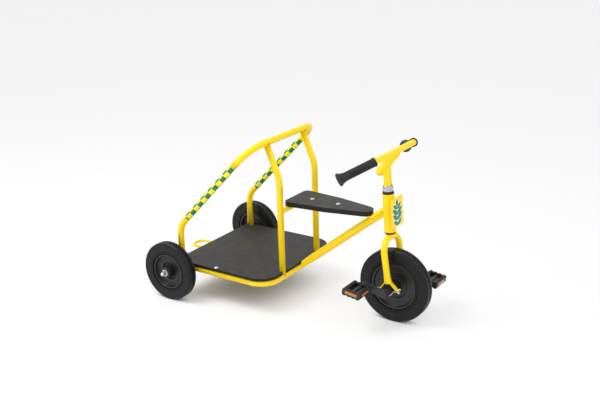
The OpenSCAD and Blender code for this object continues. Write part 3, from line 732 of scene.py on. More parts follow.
@dataclass(frozen=True)
class Moulding(Finish):
    """Hard black plastic with shallow pits, and handling marks that are a little smoother."""

    sheen: float = 0.4
    rub: Patches | None = Patches(26, 7.0, 0.55, 0.75, -0.1)
    waves: Waves | None = Waves(1300, 0.0, 0.03)


@dataclass(frozen=True)
class Zinc(Finish):
    """Zinc-plated steel: crystals under a millimetre across, and a blue-grey bloom in patches."""

    metal: float = 1.0
    spots: Patches | None = Patches(130, 5.0, 0.45, 0.75, 0.5)
    spot: Colour = (150, 153, 158)
    waves: Waves | None = Waves(1600, 0.0, 0.015)


@dataclass(frozen=True)
class Prism(Finish):
    """Amber reflector: clear plastic over rows of small pyramids."""

    pitch: float = 2.4 * MM
    pyramid: float = 0.5

    def shader(self) -> dict[str, object]:
        """A clear skin that lets some light in."""
        return super().shader() | {"Transmission Weight": 0.25, "IOR": 1.49}

    def surface(self, recipe: Recipe, normal: Socket) -> Socket:
        """Pyramids: the smaller of two triangle waves that run across each other.

        Args:
            recipe: The material's nodes.
            normal: The surface direction so far.

        Returns:
            The surface direction.
        """
        where = recipe.add("SeparateXYZ", {0: recipe.place}).outputs
        half = self.pitch / 2
        sides = [recipe.maths("PINGPONG", where[axis], half) for axis in "YZ"]
        peak = recipe.maths("DIVIDE", recipe.maths("MINIMUM", *sides), half)
        return recipe.relief(peak, self.pyramid, normal)


@dataclass(frozen=True)
class ChequerTape(Finish):
    """Printed vinyl tape with a chequer pattern that follows the piece's own UVs, faded in patches."""

    coat: float = 0.1
    sheen: float = 0.3
    spots: Patches | None = Patches(70, 5.0, 0.5, 0.8, 0.08)
    spot: Colour = (236, 238, 220)
    cells_round: int = 4
    cells_along: float = 12.3
    cut_off: float = 1.7

    def tint(self, recipe: Recipe, colour: Socket) -> Socket:
        """Squares of the two colours: U runs round the tube and V along it.

        Args:
            recipe: The material's nodes.
            colour: The cloudy blend of the two. Not used: the squares stand in for it.

        Returns:
            The tape's colour.
        """
        uv = recipe.add("TexCoord", {}).outputs["UV"]
        place = {"Vector": uv, "Location": (0, self.cut_off, 0)}
        where = recipe.add("Mapping", place | {"Scale": (self.cells_round, self.cells_along, 0)}).outputs[0]
        board = {"Vector": where, "Scale": 1.0, "Color1": (0, 0, 0, 1), "Color2": (1, 1, 1, 1)}
        square = recipe.add("TexChecker", board).outputs["Color"]
        return super().tint(recipe, recipe.blend(square, linear(self.colour), linear(self.other)))


class Palette:
    """The tricycle's finishes."""

    enamel = Enamel("yellow_enamel", (255, 221, 0), (255, 216, 0), (0.34, 0.42), 5, 700, 0.004, 0.06)
    weld = Enamel("yellow_weld", (252, 220, 0), (246, 210, 0), (0.28, 0.4), 40, 500, 0.04)
    deck = Board("deck_board_film", (49, 47, 43), (43, 41, 38), (0.5, 0.62), 7, 1500, 0.02)
    seat = Board("seat_board_film", (50, 50, 47), (44, 44, 41), (0.45, 0.58), 9, 1500, 0.02)
    # Where a row sets reach, painted shade darkens the colour in its hollows: the tyres, the pedals and the
    # rims.
    tyre = Rubber("tyre_rubber", (15, 15, 18), (10, 10, 13), (0.3, 0.42), 14, 1100, 0.02, sheen=0.3, reach=12)
    grip = Rubber("grip_rubber", (26, 27, 29), (22, 23, 25), (0.4, 0.55), 30, 1400, 0.02)
    block = Rubber("bearing_rubber", (26, 26, 27), (21, 21, 23), (0.45, 0.6), 30, 1400, 0.02)
    tread = Moulding("pedal_moulding", (44, 45, 47), (36, 37, 39), (0.3, 0.42), 40, 1600, 0.02, reach=14)
    moulding = Moulding(
        "black_moulding", (32, 32, 35), (26, 26, 29), (0.24, 0.34), 20, 1800, 0.01, sheen=0.5, reach=52
    )
    crank = Moulding("crank_moulding", (46, 47, 50), (40, 41, 44), (0.36, 0.46), 20, 1800, 0.01)
    zinc = Zinc("zinc_plate", (222, 222, 220), (204, 205, 206), (0.24, 0.38), 60, 900, 0.01)
    chrome = Zinc("bright_chrome", (206, 208, 214), (186, 189, 196), (0.1, 0.18), 60, 400, 0.004)
    amber = Prism("amber_reflector", (214, 134, 34), (224, 130, 20), (0.12, 0.2), 60, 900, 0.005, 0.6)
    tape = ChequerTape("chequer_tape", (16, 128, 82), (255, 236, 24), (0.25, 0.34), 20, 900, 0.006)
    leaf = Enamel("leaf_green", (30, 130, 100), (24, 118, 90), (0.28, 0.36), 30, 900, 0.006)
    halo = Enamel("leaf_edge", (232, 238, 214), (224, 232, 204), (0.3, 0.4), 30, 900, 0.006)


# ---------------------------------------------------------------- pieces


def settle(piece: Piece, body: str, replaces: Sequence[str] = ()) -> None:
    """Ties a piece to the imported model.

    Args:
        piece: The piece.
        body: The body that it moves with.
        replaces: CAD nodes that it stands for.
    """
    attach(piece, body)
    if replaces:
        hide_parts(*replaces)
    log.info("%s: %d faces, on %s", piece.name, len(piece.data.polygons), body)


@dataclass
class Part:
    """One CAD node whose shape stays, with its edges broken by a small radius where it has any."""

    node: str
    finish: Finish
    slot: str
    radius: float

    def build(self, bodies: dict[str, str]) -> None:
        """Copies the node's mesh, merges it, and rounds its hard edges.

        Args:
            bodies: The body of each node.
        """
        name = f"{self.node}_dressed"
        mesh = bpy.data.objects[self.node].data.copy()
        mesh.name = name
        while mesh.uv_layers:
            mesh.uv_layers.remove(mesh.uv_layers[0])
        if mesh.has_custom_normals:
            mesh.normals_split_custom_set([(0, 0, 0)] * len(mesh.loops))
        merge_points(mesh, CAD_SAME_PLACE, CAD_FLAT_DEG)
        piece = finish_mesh(name, mesh, self.finish, CAD_SHARP_DEG)
        if self.radius > 0:
            edge = piece.modifiers.new("edge", "BEVEL")
            edge.width = self.radius * MM
            edge.segments = EDGE_STEPS
            edge.limit_method = "ANGLE"
            edge.angle_limit = math.radians(EDGE_DEG)
            edge.harden_normals = True
            edge.miter_outer = "MITER_ARC"
        settle(piece, bodies[self.node], [self.node])


@dataclass
class Bead:
    """A weld bead: a rippled roll of metal along the line where two tubes meet."""

    name: str
    body: str
    lines: list[Array]
    radius: float = 2.1
    ripple: float = 3.2
    rise: float = 0.14
    drift: float = 0.05
    drifts: int = 7
    steps_a_ripple: int = 6
    fewest_steps: int = 24
    sides: int = 10

    def one(self, line: Array) -> Surface:
        """Sweeps the bead along one closed line.

        At turn t of the line the radius is radius * (1 + rise * cos(waves * t) + drift * sin(drifts * t)).

        Args:
            line: The line.

        Returns:
            The bead.
        """
        ends = np.vstack([line, line[:1]])
        along = np.concatenate([[0.0], np.cumsum(np.linalg.norm(np.diff(ends, axis=0), axis=1))])
        total = along[-1]
        count = max(self.fewest_steps, int(total / (self.ripple * MM / self.steps_a_ripple)))
        even = np.linspace(0, total, count, endpoint=False)
        path = np.stack([np.interp(even, along, ends[:, k]) for k in range(3)], -1)
        waves = round(total / (self.ripple * MM))
        turn = TURN * even / total
        swell = 1 + self.rise * np.cos(waves * turn) + self.drift * np.sin(self.drifts * turn)
        return sweep(path, self.radius * MM * swell, self.sides)

    def build(self) -> None:
        """Joins the beads into one piece."""
        whole = join([self.one(line) for line in self.lines])
        settle(whole.object(self.name, Palette.weld, 80.0, True), self.body)


@dataclass
class Frame:
    """The welded frame: the beads where its tubes meet, and the chequer tape on the hoop.

    The main tube runs from the middle of the front rail to main_share of the way up the head tube. The fields
    are in millimetres and degrees, and what is read from the nodes is in metres.
    """

    knee_z: float = 319.0
    post_knee_z: float = 564.0
    post_lean: float = 6.0
    main_share: float = 0.61
    main_foot_r: float = 13.3
    leg_radius: float = 13.75
    tape_start: float = 63.0
    tape_len: float = 368.0
    tape_gap: float = 0.02
    tape_t: float = 0.16
    tape_turn: float = -12.8

    def __post_init__(self) -> None:
        """Reads the tubes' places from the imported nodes."""
        middle, half = middle_half("base_rail")
        self.rail_r, self.rail_z = half[2], middle[2]
        self.front_x, self.rail_y = (middle + half)[:2] - self.rail_r
        self.axle, half = middle_half("rear_axle_tube")
        self.axle_r = half[2]
        middle, half = middle_half("rear_hoop")
        self.hoop_r = self.leg_radius * MM
        self.hoop_y = (middle + half)[1] - self.hoop_r
        self.leg_x = (middle - half)[0] + self.hoop_r
        self.top = (middle + half - self.hoop_r) * (1, 0, 1)
        middle, half = middle_half("front_post_left")
        self.post_y, self.post_r = middle[1], half[1]
        self.cross, half = middle_half("seat_cross_tube")
        self.cross_r = half[2]
        middle, half = middle_half("deck_spine")
        self.spine_r, self.spine_z = half[1], middle[2]
        middle, half = middle_half("tow_loop")
        self.tow_r, self.tow_z = half[2], middle[2]
        self.tow_y = (middle + half)[1] - self.tow_r

    def lengthwise(self, y: float, z: float, radius: float) -> Tube:
        """A tube that runs forward from the rear axle to the front rail."""
        return Tube(vec(self.axle[0], y, z), vec(self.front_x, y, z), radius)

    def beads(self) -> Bead:
        """Weld beads round every joint between tubes.

        Returns:
            The frame's beads.
        """
        front, rail_z = self.front_x, self.rail_z
        up, left, back = vec(0, 0, 1), vec(0, 1, 0), vec(-1, 0, 0)
        rails = [self.lengthwise(side.value * self.rail_y, rail_z, self.rail_r) for side in Side]
        front_rail = Tube(vec(front, -1, rail_z), vec(front, 1, rail_z), self.rail_r)
        axle = Tube(self.axle - left, self.axle + left, self.axle_r)
        top_bar = Tube(self.top - left, self.top + left, self.hoop_r)
        spine = self.lengthwise(0, self.spine_z, self.spine_r)
        pairs = [(rail, axle) for rail in rails] + [(spine, axle), (spine.turned(), front_rail)]
        for side, rail in zip(Side, rails):
            s = side.value
            leg = vec(self.leg_x, s * self.hoop_y, rail_z)
            foot = vec(front, s * self.post_y, rail_z)
            head = vec(self.top[0], s * self.post_y, self.top[2])
            knee = vec(front - self.post_lean * MM, s * self.post_y, self.post_knee_z * MM)
            seat = self.cross + s * self.post_y * left
            arm = vec(self.axle[0], s * self.tow_y, self.tow_z)
            pairs += [
                (Tube(leg, leg + up, self.hoop_r), rail),
                (Tube(foot, foot + up, self.post_r), front_rail),
                (Tube(head, knee, self.post_r), top_bar),
                (Tube(seat, self.cross, self.cross_r), Tube(foot, knee, self.post_r)),
                (Tube(arm, arm + back, self.tow_r), axle),
            ]
        head_tube = Steering.tube("head_tube")
        start = vec(front, 0, rail_z)
        end = head_tube.start + (head_tube.end - head_tube.start) * self.main_share
        main = Tube(end, start, middle_half("main_tube")[1][1])
        pairs += [(main, head_tube), (Tube(start, end, self.main_foot_r * MM), front_rail)]
        return Bead("frame_welds", "frame", [tube_on_tube(*pair) for pair in pairs])

    def tape(self, side: Side) -> None:
        """A sleeve of chequer tape on one slanted leg of the hoop.

        Args:
            side: Which side.
        """
        y = side.value * self.hoop_y
        knee = vec(self.leg_x, y, self.knee_z * MM)
        way = unit(vec(self.top[0], y, self.top[2]) - knee)
        start = knee + way * self.tape_start * MM
        place = Place.on_axis(start, way, vec(0, -1, 0))
        turned = math.radians(self.tape_turn)
        place = Place.on_axis(start, way, math.cos(turned) * place.side + math.sin(turned) * place.up)
        inner, outer = self.leg_radius + self.tape_gap, self.leg_radius + self.tape_t
        end = self.tape_len
        profile = rounded([(inner, 0, 0), (outer, 0, 0.1), (outer, end, 0.1), (inner, end, 0)], 3)
        sleeve = revolve(profile, place, 96, None, profile[:, 1] / (end * MM))
        settle(sleeve.object(f"chequer_tape_{side.word}", Palette.tape, 60.0), "frame")

    def build(self) -> None:
        """Builds the welds and the tape."""
        self.beads().build()
        for side in Side:
            self.tape(side)


@dataclass
class Steering:
    """The steering: the head plate's sprig, the locknut, the weld beads, the grips and the pedals' webs.

    The fields are in millimetres and degrees.
    """

    leaf_len: float = 52.0
    leaf_w: float = 22.0
    leaf_t: float = 0.6
    leaf_thin: float = 1.5
    leaf_lift: float = 0.25
    leaf_turn: float = 58.0
    leaf_pairs: tuple[Pair, ...] = ((0.02, 0.74), (0.22, 0.88), (0.42, 0.92), (0.62, 0.74))
    halo_w: float = 2.8
    sprig_h: float = 109.0
    stem_share: float = 0.72
    stem_w: float = 3.4
    top_share: float = 0.28
    top_w: float = 0.9
    riser_back: float = 65.0
    riser_drop: float = 91.0
    riser_r: float = 18.0
    riser_top_r: float = 16.0
    riser_ahead: float = 5.0
    stem_r: float = 16.0
    leg_r: float = 14.0
    leg_y: float = 60.0
    saddle_top: float = 33.0
    crown_s: float = 205.0
    sweep_deg: float = 38.8
    drop_deg: float = 20.7
    bar_r: float = 12.5
    bar_half: float = 156.0
    bar_back: float = 11.0
    grip_start: float = 4.0
    grip_len: float = 158.0
    grip_r: float = 17.0
    flange_r: float = 26.0
    ribs: int = 22
    rib_pitch: float = 4.6
    first_rib: float = 14.0
    rib_depth: float = 0.9
    flutes: int = 9
    flute_depth: float = 2.8
    flute_low: float = 4.5
    flute_high: float = 3.5
    flute_fade: float = 1.5
    steerer_r: float = 12.9
    web_in: float = 9.0
    web_t: float = 3.0

    @staticmethod
    def axis() -> Place:
        """The steering axis, starting at the front axle, with its side direction facing forward."""
        joint = Model.joint("steer")
        return Place.on_axis(np.array(joint["pos_m"]), np.array(joint["axis"]), vec(1, 0, 0))

    @classmethod
    def tube(cls, node: str) -> Tube:
        """The centre line and radius of a round node on the steering axis, whose ends are square to it.

        Its box reaches radius * sin(rake) past the middle of each end.

        Args:
            node: The node.

        Returns:
            Its tube, from its lower end.
        """
        steer = cls.axis()
        low, high = limits(node)
        radius = (high[1] - low[1]) / 2
        past = radius * math.sin(math.acos(steer.axis[2]))
        heights = (low[2] + past, high[2] - past)
        ends = [steer.origin + steer.axis * (z - steer.origin[2]) / steer.axis[2] for z in heights]
        return Tube(*ends, radius)

    def bar_centre(self) -> Array:
        """The middle of the handlebar's cross tube, which lies a set way behind the front axle."""
        axle = Model.joint("front_spin")["pos_m"]
        return vec(axle[0] - self.bar_back * MM, 0, limits("handlebar")[1][2] - self.bar_r * MM)

    def leaf(self, plate: Place, root: Pair, turn_deg: float, length: float, width: float) -> Surface:
        """One pointed leaf, lying on the plate.

        At share s of its length its half width is width / 2 * sin(pi * s ** 0.8), and its section is an
        ellipse leaf_t thick, which thins where the half width is under leaf_thin.

        Args:
            plate: The plate's front: side runs across it, up runs up it, and the axis looks out of it.
            root: Where the leaf starts, across and up the plate, in millimetres.
            turn_deg: The leaf's direction, from straight up the plate.
            length: Its length in millimetres.
            width: Its width in millimetres.

        Returns:
            The leaf.
        """
        rows, cols = 33, 12
        s = np.linspace(0, 1, rows)[:, None]
        a = np.linspace(0, TURN, cols, endpoint=False)[None, :]
        half = width / 2 * np.sin(math.pi * s**0.8)
        along, across = s * length + 0 * a, half * np.cos(a)
        out = self.leaf_t / 2 * np.minimum(1.0, half / self.leaf_thin) * np.sin(a)
        t = math.radians(turn_deg)
        x = root[0] - math.sin(t) * along + math.cos(t) * across
        y = root[1] + math.cos(t) * along + math.sin(t) * across
        points = plate.point(x * MM, y * MM, out * MM)
        return Surface(points.reshape(-1, 3), grid_faces(rows, cols, False))

    def sprig(self, face: Place, more: float) -> Surface:
        """Four pairs of leaves and a top leaf on a thin stem.

        Args:
            face: The plate's front.
            more: How far every edge lies outside the plain sprig's, in millimetres.

        Returns:
            The sprig.
        """
        tall = self.sprig_h
        leaves = [(0.0, 0.0, tall * self.stem_share, self.stem_w)]
        for level, size in self.leaf_pairs:
            one = (self.leaf_len * size, self.leaf_w * size)
            leaves += [(level, -self.leaf_turn, *one), (level, self.leaf_turn, *one)]
        leaves.append((self.stem_share, 0.0, self.top_share * tall, self.leaf_w * self.top_w))
        made = []
        for level, turn, length, width in leaves:
            t = math.radians(turn)
            start = (math.sin(t) * more, level * tall - tall / 2 - math.cos(t) * more)
            made.append(self.leaf(face, start, turn, length + 2 * more, width + 2 * more))
        return join(made)

    def emblem(self) -> None:
        """The sprig in green, over a paler and slightly wider one."""
        mount = Model.mount("head_plate_face")
        out = np.array(mount["axis"])
        face = Place(np.array(mount["pos_m"]), out, vec(0, 1, 0), self.axis().axis)
        over = Place(face.origin + out * self.leaf_lift * MM, out, face.side, face.up)
        leaf, halo = self.sprig(over, 0.0), self.sprig(face, self.halo_w)
        settle(leaf.object("head_plate_sprig", Palette.leaf, 60.0, True), "frame")
        settle(halo.object("head_plate_halo", Palette.halo, 60.0, True), "frame")

    def beads(self) -> Bead:
        """Weld beads where the riser, the stem and the cross tube meet, and on top of the fork's saddles.

        Returns:
            The steering's beads.
        """
        steer = self.axis()
        centre = self.bar_centre()
        foot = centre - vec(self.riser_back, 0, self.riser_drop) * MM
        top = centre + vec(self.riser_ahead, 0, 0) * MM
        way = unit(top - foot)
        meet = top - way * ((top - steer.origin) @ steer.side) / (way @ steer.side)
        left = vec(0, 1, 0)
        riser = Tube(foot, top, self.riser_r * MM)
        stem = Tube(meet, meet - steer.axis, self.stem_r * MM)
        cross = Tube(centre - left, centre + left, self.bar_r * MM)
        lines = [tube_on_tube(stem, riser), tube_on_tube(Tube(top, foot, self.riser_top_r * MM), cross)]
        axle = np.array(Model.joint("front_spin")["pos_m"])
        leg = unit(steer.origin + steer.axis * self.crown_s * MM - axle)
        for side in Side:
            middle = axle + leg * self.saddle_top * MM + side.value * self.leg_y * MM * left
            lines.append(middle + Place.on_axis(middle, leg).circle(WELD_TURN) * self.leg_r * MM)
        return Bead("steering_welds", "steering", lines)

    def grip(self, side: Side) -> None:
        """One rubber grip: a smooth collar, a ribbed body, and an end that flares to a round flange.

        Args:
            side: Which side.
        """
        a, d = math.radians(self.sweep_deg), math.radians(self.drop_deg)
        way = vec(-math.sin(a) * math.cos(d), side.value * math.cos(a) * math.cos(d), -math.sin(d))
        corner = self.bar_centre() + vec(0, side.value * self.bar_half * MM, 0)
        place = Place.on_axis(corner + way * self.grip_start * MM, way)
        r, flange, whole, bore = self.grip_r, self.flange_r, self.grip_len, self.bar_r
        corners = [(bore, 0, 0.6), (r + 1.5, 0, 1.2), (r + 1.5, 5, 1.5), (r, 8, 2)]
        for i in range(self.ribs):
            h, low = self.first_rib + i * self.rib_pitch, r - self.rib_depth
            corners += [(r, h, 0.4), (low, h + 0.7, 0.4), (low, h + 1.5, 0.4), (r, h + 2.2, 0.4)]
        corners += [
            (r, whole - 30, 14), (r + 3, whole - 16, 14), (flange, whole - 5, 2.5), (flange, whole, 2),
            (flange - 6, whole, 1), (flange - 6.6, whole - 0.8, 0.5), (0.01, whole - 0.8, 0),
            (0.01, whole - 4, 0), (bore, whole - 4, 0),
        ]
        grip = revolve(rounded(corners, 5), place, 72).object(f"grip_rubber_{side.word}", Palette.grip, 50.0)
        settle(grip, "steering", [f"grip_{side.word}"])

    def locknut(self) -> None:
        """The bright locknut, with flutes round its middle for a spanner.

        A flute's depth at turn t is deepest where cos(flutes * t) is lowest, and fades out towards both ends.
        """
        tube = self.tube("locknut")
        r, h = tube.radius / MM, float(np.linalg.norm(tube.end - tube.start)) / MM
        low, high, fade = self.flute_low, h - self.flute_high, self.flute_fade

        def flute(up: Array, turn: Array) -> Array:
            """What the flutes add to the radius."""
            middle = np.clip((up / MM - low) / fade, 0, 1) * np.clip((high - up / MM) / fade, 0, 1)
            return -self.flute_depth * MM * middle * (0.5 - 0.5 * np.cos(self.flutes * turn)) ** 3

        profile = rounded([
            (self.steerer_r, 0, 0), (r, 0, 1.2), (r, low, 0), (r, low + fade, 0), (r, high - fade, 0),
            (r, high, 0), (r, h, 1.2), (self.steerer_r, h, 0),
        ], 5)
        nut = revolve(profile, Place.on_axis(tube.start, self.axis().axis), 192, flute)
        settle(nut.object("locknut_fluted", Palette.chrome, 30.0), "steering", ["locknut"])

    def pedal_web(self, side: Side) -> None:
        """The thin web inside a pedal, level with its spindle, which closes the openings half way down.

        Args:
            side: Which side.
        """
        middle, half = middle_half(f"pedal_{side.word}")
        half = vec(*(half[:2] - self.web_in * MM), self.web_t * MM / 2)
        signs = np.array([(x, y, z) for x in (-1, 1) for y in (-1, 1) for z in (-1, 1)], float)
        faces = np.array([(0, 1, 3, 2), (4, 6, 7, 5), (0, 4, 5, 1), (2, 3, 7, 6), (0, 2, 6, 4), (1, 5, 7, 3)])
        web = Surface(middle + signs * half, faces)
        settle(web.object(f"pedal_web_{side.word}", Palette.tread), f"{side.word}_pedal")

    def build(self) -> None:
        """Builds the emblem, the welds, the locknut, the pedals' webs and both grips."""
        self.emblem()
        self.locknut()
        self.beads().build()
        for side in Side:
            self.grip(side)
            self.pedal_web(side)


@dataclass
class Wheel:
    """One wheel: a solid rubber tyre on a dished plastic rim. Sizes are in millimetres."""

    body: str
    tyre_node: str
    rim_node: str
    tyre_r: float
    tyre_w: float
    rim_r: float
    rim: list[Triple]
    outward: float
    grooves: Pair
    shoulder: float = 0.72

    def place(self) -> Place:
        """The wheel's axis, from the middle of its tyre outwards."""
        return Place.on_axis(middle_half(self.tyre_node)[0], vec(0, self.outward, 0))

    def tyre_outline(self) -> Array:
        """The tyre's section: a tread with round shoulders and its grooves, and a raised ring by the rim.

        Returns:
            The section's points, in metres.
        """
        r, w, seat = self.tyre_r, self.tyre_w / 2, self.rim_r
        shoulder = self.shoulder * w
        line = r - shoulder - 3
        wall = [
            (seat, w - 5, 0.5), (seat + 2.4, w - 5, 0.5), (seat + 3.2, w + 1.7, 1.4),
            (seat + 8.4, w + 1.7, 1.6), (seat + 9.2, w - 1.2, 0.6), (seat + 10.6, w - 1.2, 0.6),
            (seat + 11.6, w, 1.0), (line - 4, w, 1.0), (line - 2, w - 0.7, 1.0), (line, w, 0.8),
        ]
        tread = []
        for h in self.grooves:
            tread += [(r, h + 1.5, 0.5), (r - 2.2, h + 0.9, 0.4), (r - 2.2, h - 0.9, 0.4), (r, h - 1.5, 0.5)]
        half = [(p[0], -p[1], p[2]) for p in wall] + [(r, -w, shoulder)]
        return rounded(half + tread[::-1] + [(r, w, shoulder)] + wall[::-1], 12)

    def build(self) -> None:
        """Builds the tyre and the rim."""
        place, node = self.place(), self.tyre_node
        tyre = revolve(self.tyre_outline(), place, WHEEL_STEPS)
        rim = revolve(rounded(self.rim, 6), place, WHEEL_STEPS)
        settle(tyre.object(f"{node}_rubber", Palette.tyre), self.body, [node])
        settle(rim.object(f"{node}_dish", Palette.moulding), self.body, [self.rim_node])


def rear_rim_outline() -> list[Triple]:
    """Section of a rear rim: hub, recess, stepped web, dish and lip, in millimetres with corner radii.

    Returns:
        Rows of radius, height along the axle and corner radius.
    """
    return [
        (10, -22, 0.5), (24, -22, 1.5), (26, -6, 3), (36, -6, 2), (39, 0, 2), (67, 0, 4), (71, -19.5, 1),
        (78, -19.5, 0.5), (78, 19.5, 2), (71, 19.5, 3), (67, 6, 4), (55.6, 6, 0), (55, 5.1, 0.3),
        (53.2, 5.1, 0.3), (52.6, 6, 0), (39, 6, 2), (36, 0, 2), (26, 0, 2.5), (24, 34, 2), (17, 34, 1),
        (16, 32.6, 0.6), (10, 32.6, 0),
    ]


def front_rim_outline() -> list[Triple]:
    """Section of the front rim, the same on both sides, in millimetres with corner radii.

    Returns:
        Rows of radius, height along the axle and corner radius.
    """
    half = [
        (8, 43.7, 0.3), (26, 43.7, 1.5), (28, 4, 3), (52, 4, 3), (55, 9, 2), (70, 10, 0), (70.6, 9.2, 0.3),
        (72.4, 9.3, 0.3), (73, 10.2, 0), (87, 11, 4), (92, 22, 3), (100, 22, 2),
    ]
    return [(r, -h, q) for r, h, q in half] + half[::-1]


# ---------------------------------------------------------------- studio


def hang(data: bpy.types.ID, right: Array, up: Array, back: Array, where: Array) -> Piece:
    """Links a camera or a lamp to the scene at a point, turned by three directions square to each other.

    Args:
        data: The camera's or the lamp's data.
        right: Its direction to the right.
        up: Its upward direction.
        back: The direction away from what it looks at.
        where: The point.

    Returns:
        Its object.
    """
    piece = bpy.data.objects.new(data.name, data)
    turned = np.eye(4)
    turned[:3] = np.stack([right, up, back, where], -1)
    piece.matrix_world = Matrix(turned.tolist())
    bpy.context.scene.collection.objects.link(piece)
    return piece


@dataclass(frozen=True)
class StudioFloor(Finish):
    """The floor: a matt paint that what looks at it sees lifted towards white, but not close under things,
    which paints shadow there.
    """

    lift: float = 0.6
    white: float = 0.98
    under: float = 0.35
    shade_range: Pair = (0.1, 0.8)

    @cache
    def material(self) -> bpy.types.Material:
        """Makes the material: the paint, with a plain glow mixed in for eyes, mirrors and glass alone, and
        left out where things stand close above, as painted shadow.

        Returns:
            The material.
        """
        found = super().material()
        tree = found.node_tree
        # Painted shadow: ambient occlusion within under takes the glow away, so the floor shows darker close
        # under things.
        around = add_node(tree, "AmbientOcclusion", {"Distance": self.under}, samples=16).outputs["AO"]
        low, high = self.shade_range
        rise = {"Value": around, "From Min": low, "From Max": high, "To Max": self.lift}
        clear = add_node(tree, "MapRange", rise, interpolation_type="SMOOTHSTEP").outputs["Result"]
        share = add_node(tree, "Math", {0: looked_at(tree), 1: clear}, operation="MULTIPLY").outputs[0]
        glow = add_node(tree, "Emission", {"Strength": self.white}).outputs[0]
        paint = tree.nodes["Principled BSDF"].outputs[0]
        mix = add_node(tree, "MixShader", {0: share, 1: paint, 2: glow}).outputs[0]
        tree.links.new(mix, tree.nodes["Material Output"].inputs["Surface"])
        return found


@dataclass
class Studio:
    """A pale room: one floor, soft lamps and the camera."""

    eye: Triple = (2.0091, -3.0527, 1.6851)
    lens: float = 54.92
    yaw_deg: float = 33.44
    pitch_deg: float = 18.81
    roll_deg: float = -0.98
    floor_half: float = 60.0
    world: float = 0.8
    seen_world: float = 0.91
    target: Triple = (0, 0, 0.3)
    lamps: tuple[tuple[str, Triple, float, float], ...] = (
        ("key", (-1.3, -1.4, 3.4), 1.7, 66.0),
        ("fill", (2.6, -1.2, 2.6), 2.4, 24.0),
    )

    def camera(self) -> None:
        """Places the camera: it looks down by the pitch, along the yaw, with a slight roll."""
        yaw, pitch, roll = (math.radians(a) for a in (self.yaw_deg, self.pitch_deg, self.roll_deg))
        back = vec(math.sin(yaw) * math.cos(pitch), -math.cos(yaw) * math.cos(pitch), math.sin(pitch))
        right = unit(np.cross(-back, vec(0, 0, 1)))
        up = np.cross(right, -back)
        right, up = right * math.cos(roll) + up * math.sin(roll), up * math.cos(roll) - right * math.sin(roll)
        data = bpy.data.cameras.new("camera")
        data.lens = self.lens
        bpy.context.scene.camera = hang(data, right, up, back, np.array(self.eye))

    def lamp(self, name: str, where: Triple, size: float, watts: float) -> None:
        """Adds a soft square lamp that looks at the target.

        Args:
            name: Its name.
            where: Where it hangs.
            size: Its side in metres.
            watts: Its power.
        """
        data = bpy.data.lights.new(name, "AREA")
        data.shape, data.size, data.energy = "SQUARE", size, watts
        back = unit(np.array(where) - self.target)
        right = unit(np.cross(vec(0, 0, 1), back) + vec(1e-6, 0, 0))
        hang(data, right, np.cross(back, right), back, np.array(where))

    def floor(self) -> None:
        """A wide pale floor, whose shadows stay."""
        h = self.floor_half
        points = np.array([(-h, -h, 0), (h, -h, 0), (h, h, 0), (-h, h, 0)], float)
        finish = StudioFloor("studio_floor", (250, 250, 251), (248, 248, 249), (0.75, 0.85), 2.0, 300, 0.01)
        Surface(points, np.array([[0, 1, 2, 3]])).object("floor", finish)

    def build(self) -> None:
        """Builds the room."""
        scene = bpy.context.scene
        scene.view_settings.view_transform = "Standard"
        world = bpy.data.worlds.new("studio")
        world.use_nodes = True
        tree = world.node_tree
        background = tree.nodes["Background"].inputs
        background["Color"].default_value = linear((252, 252, 253))
        seen = {"Value": looked_at(tree), "To Min": self.world, "To Max": self.seen_world}
        tree.links.new(add_node(tree, "MapRange", seen).outputs["Result"], background["Strength"])
        scene.world = world
        self.camera()
        self.floor()
        for row in self.lamps:
            self.lamp(*row)


class Model:
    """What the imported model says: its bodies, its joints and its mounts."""

    frame: dict = {}

    @classmethod
    def load(cls) -> None:
        """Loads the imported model."""
        cls.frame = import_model()

    @classmethod
    def joint(cls, name: str) -> dict:
        """One joint, by name."""
        return next(j for j in cls.frame["joints"] if j["name"] == name)

    @classmethod
    def mount(cls, name: str) -> dict:
        """One mount, by name."""
        return next(m for m in cls.frame["record"]["mounts"] if m["name"] == name)

    @classmethod
    def bodies(cls) -> dict[str, str]:
        """The body of each node."""
        groups = cls.frame["record"]["behaviour"]["bodies"]
        return {node: body for body, nodes in groups.items() for node in nodes}


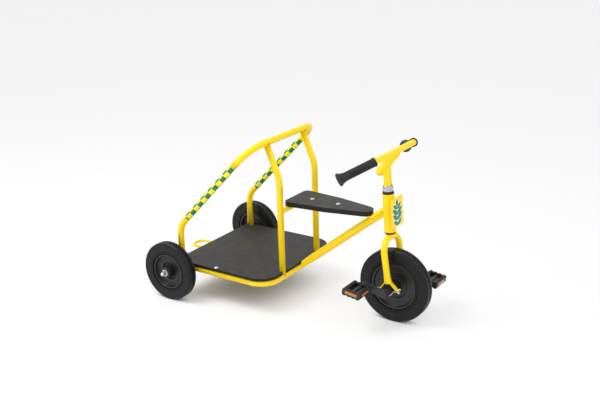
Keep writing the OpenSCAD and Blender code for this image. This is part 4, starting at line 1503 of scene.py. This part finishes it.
def parts() -> list[Part]:
    """The nodes whose shape stays, with the radius in millimetres that their edges get.

    A star in a node's name stands for each side.

    Returns:
        The parts.
    """
    p = Palette
    rows: list[tuple[Finish, str, float, str]] = [
        (p.enamel, "paint", 0.0,
         "base_rail rear_axle_tube deck_spine tow_loop rear_hoop front_post_* seat_cross_tube"
         " main_tube handlebar fork"),
        (p.enamel, "paint", 0.8, "seat_bar head_tube head_plate"),
        (p.deck, "board", 3.0, "deck_board"),
        (p.seat, "board", 8.5, "seat_board"),
        (p.zinc, "zinc", 0.5,
         "deck_bolts deck_nuts seat_bolts seat_nuts axle_spacers axle_washers axle_nuts strap_bolts"
         " strap_nuts rear_bushes_*"),
        (p.zinc, "zinc", 0.8, "bearing_strap_* rear_axle crank_axle pedal_spindle_*"),
        (p.block, "moulding", 1.0, "lower_head_bush upper_head_bush crown_race"),
        (p.block, "rubber", 1.0, "axle_bearing_*"),
        (p.crank, "moulding", 2.6, "crank_*"),
        (p.tread, "rubber", 0.9, "pedal_*"),
        (p.amber, "reflector", 0.7, "pedal_reflectors_*"),
    ]
    found = []
    for finish, slot, radius, nodes in rows:
        for node in nodes.split():
            names = [node.replace("*", side.word) for side in Side] if "*" in node else [node]
            found += [Part(name, finish, slot, radius) for name in names]
    return found


def wheels() -> list[Wheel]:
    """The three wheels.

    Returns:
        The front wheel and the two rear ones.
    """
    front = ("front_wheel", "front_tyre", "front_rim", 155, 50, 100)
    return [Wheel(*front, front_rim_outline(), 1.0, (-8.0, 8.0))] + [
        Wheel(
            f"{side.word}_rear_wheel", f"rear_tyre_{side.word}", f"rear_rim_{side.word}", 129, 43, 78,
            rear_rim_outline(), float(side.value), (-6.0, 6.0),
        )
        for side in Side
    ]


def main() -> None:
    """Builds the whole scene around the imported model."""
    logging.basicConfig(level=logging.INFO, format="%(message)s")
    Model.load()
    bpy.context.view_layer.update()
    Studio().build()
    bodies = Model.bodies()
    for part in parts():
        part.build(bodies)
    Frame().build()
    Steering().build()
    for wheel in wheels():
        wheel.build()
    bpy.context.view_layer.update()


if __name__ == "__main__":
    main()
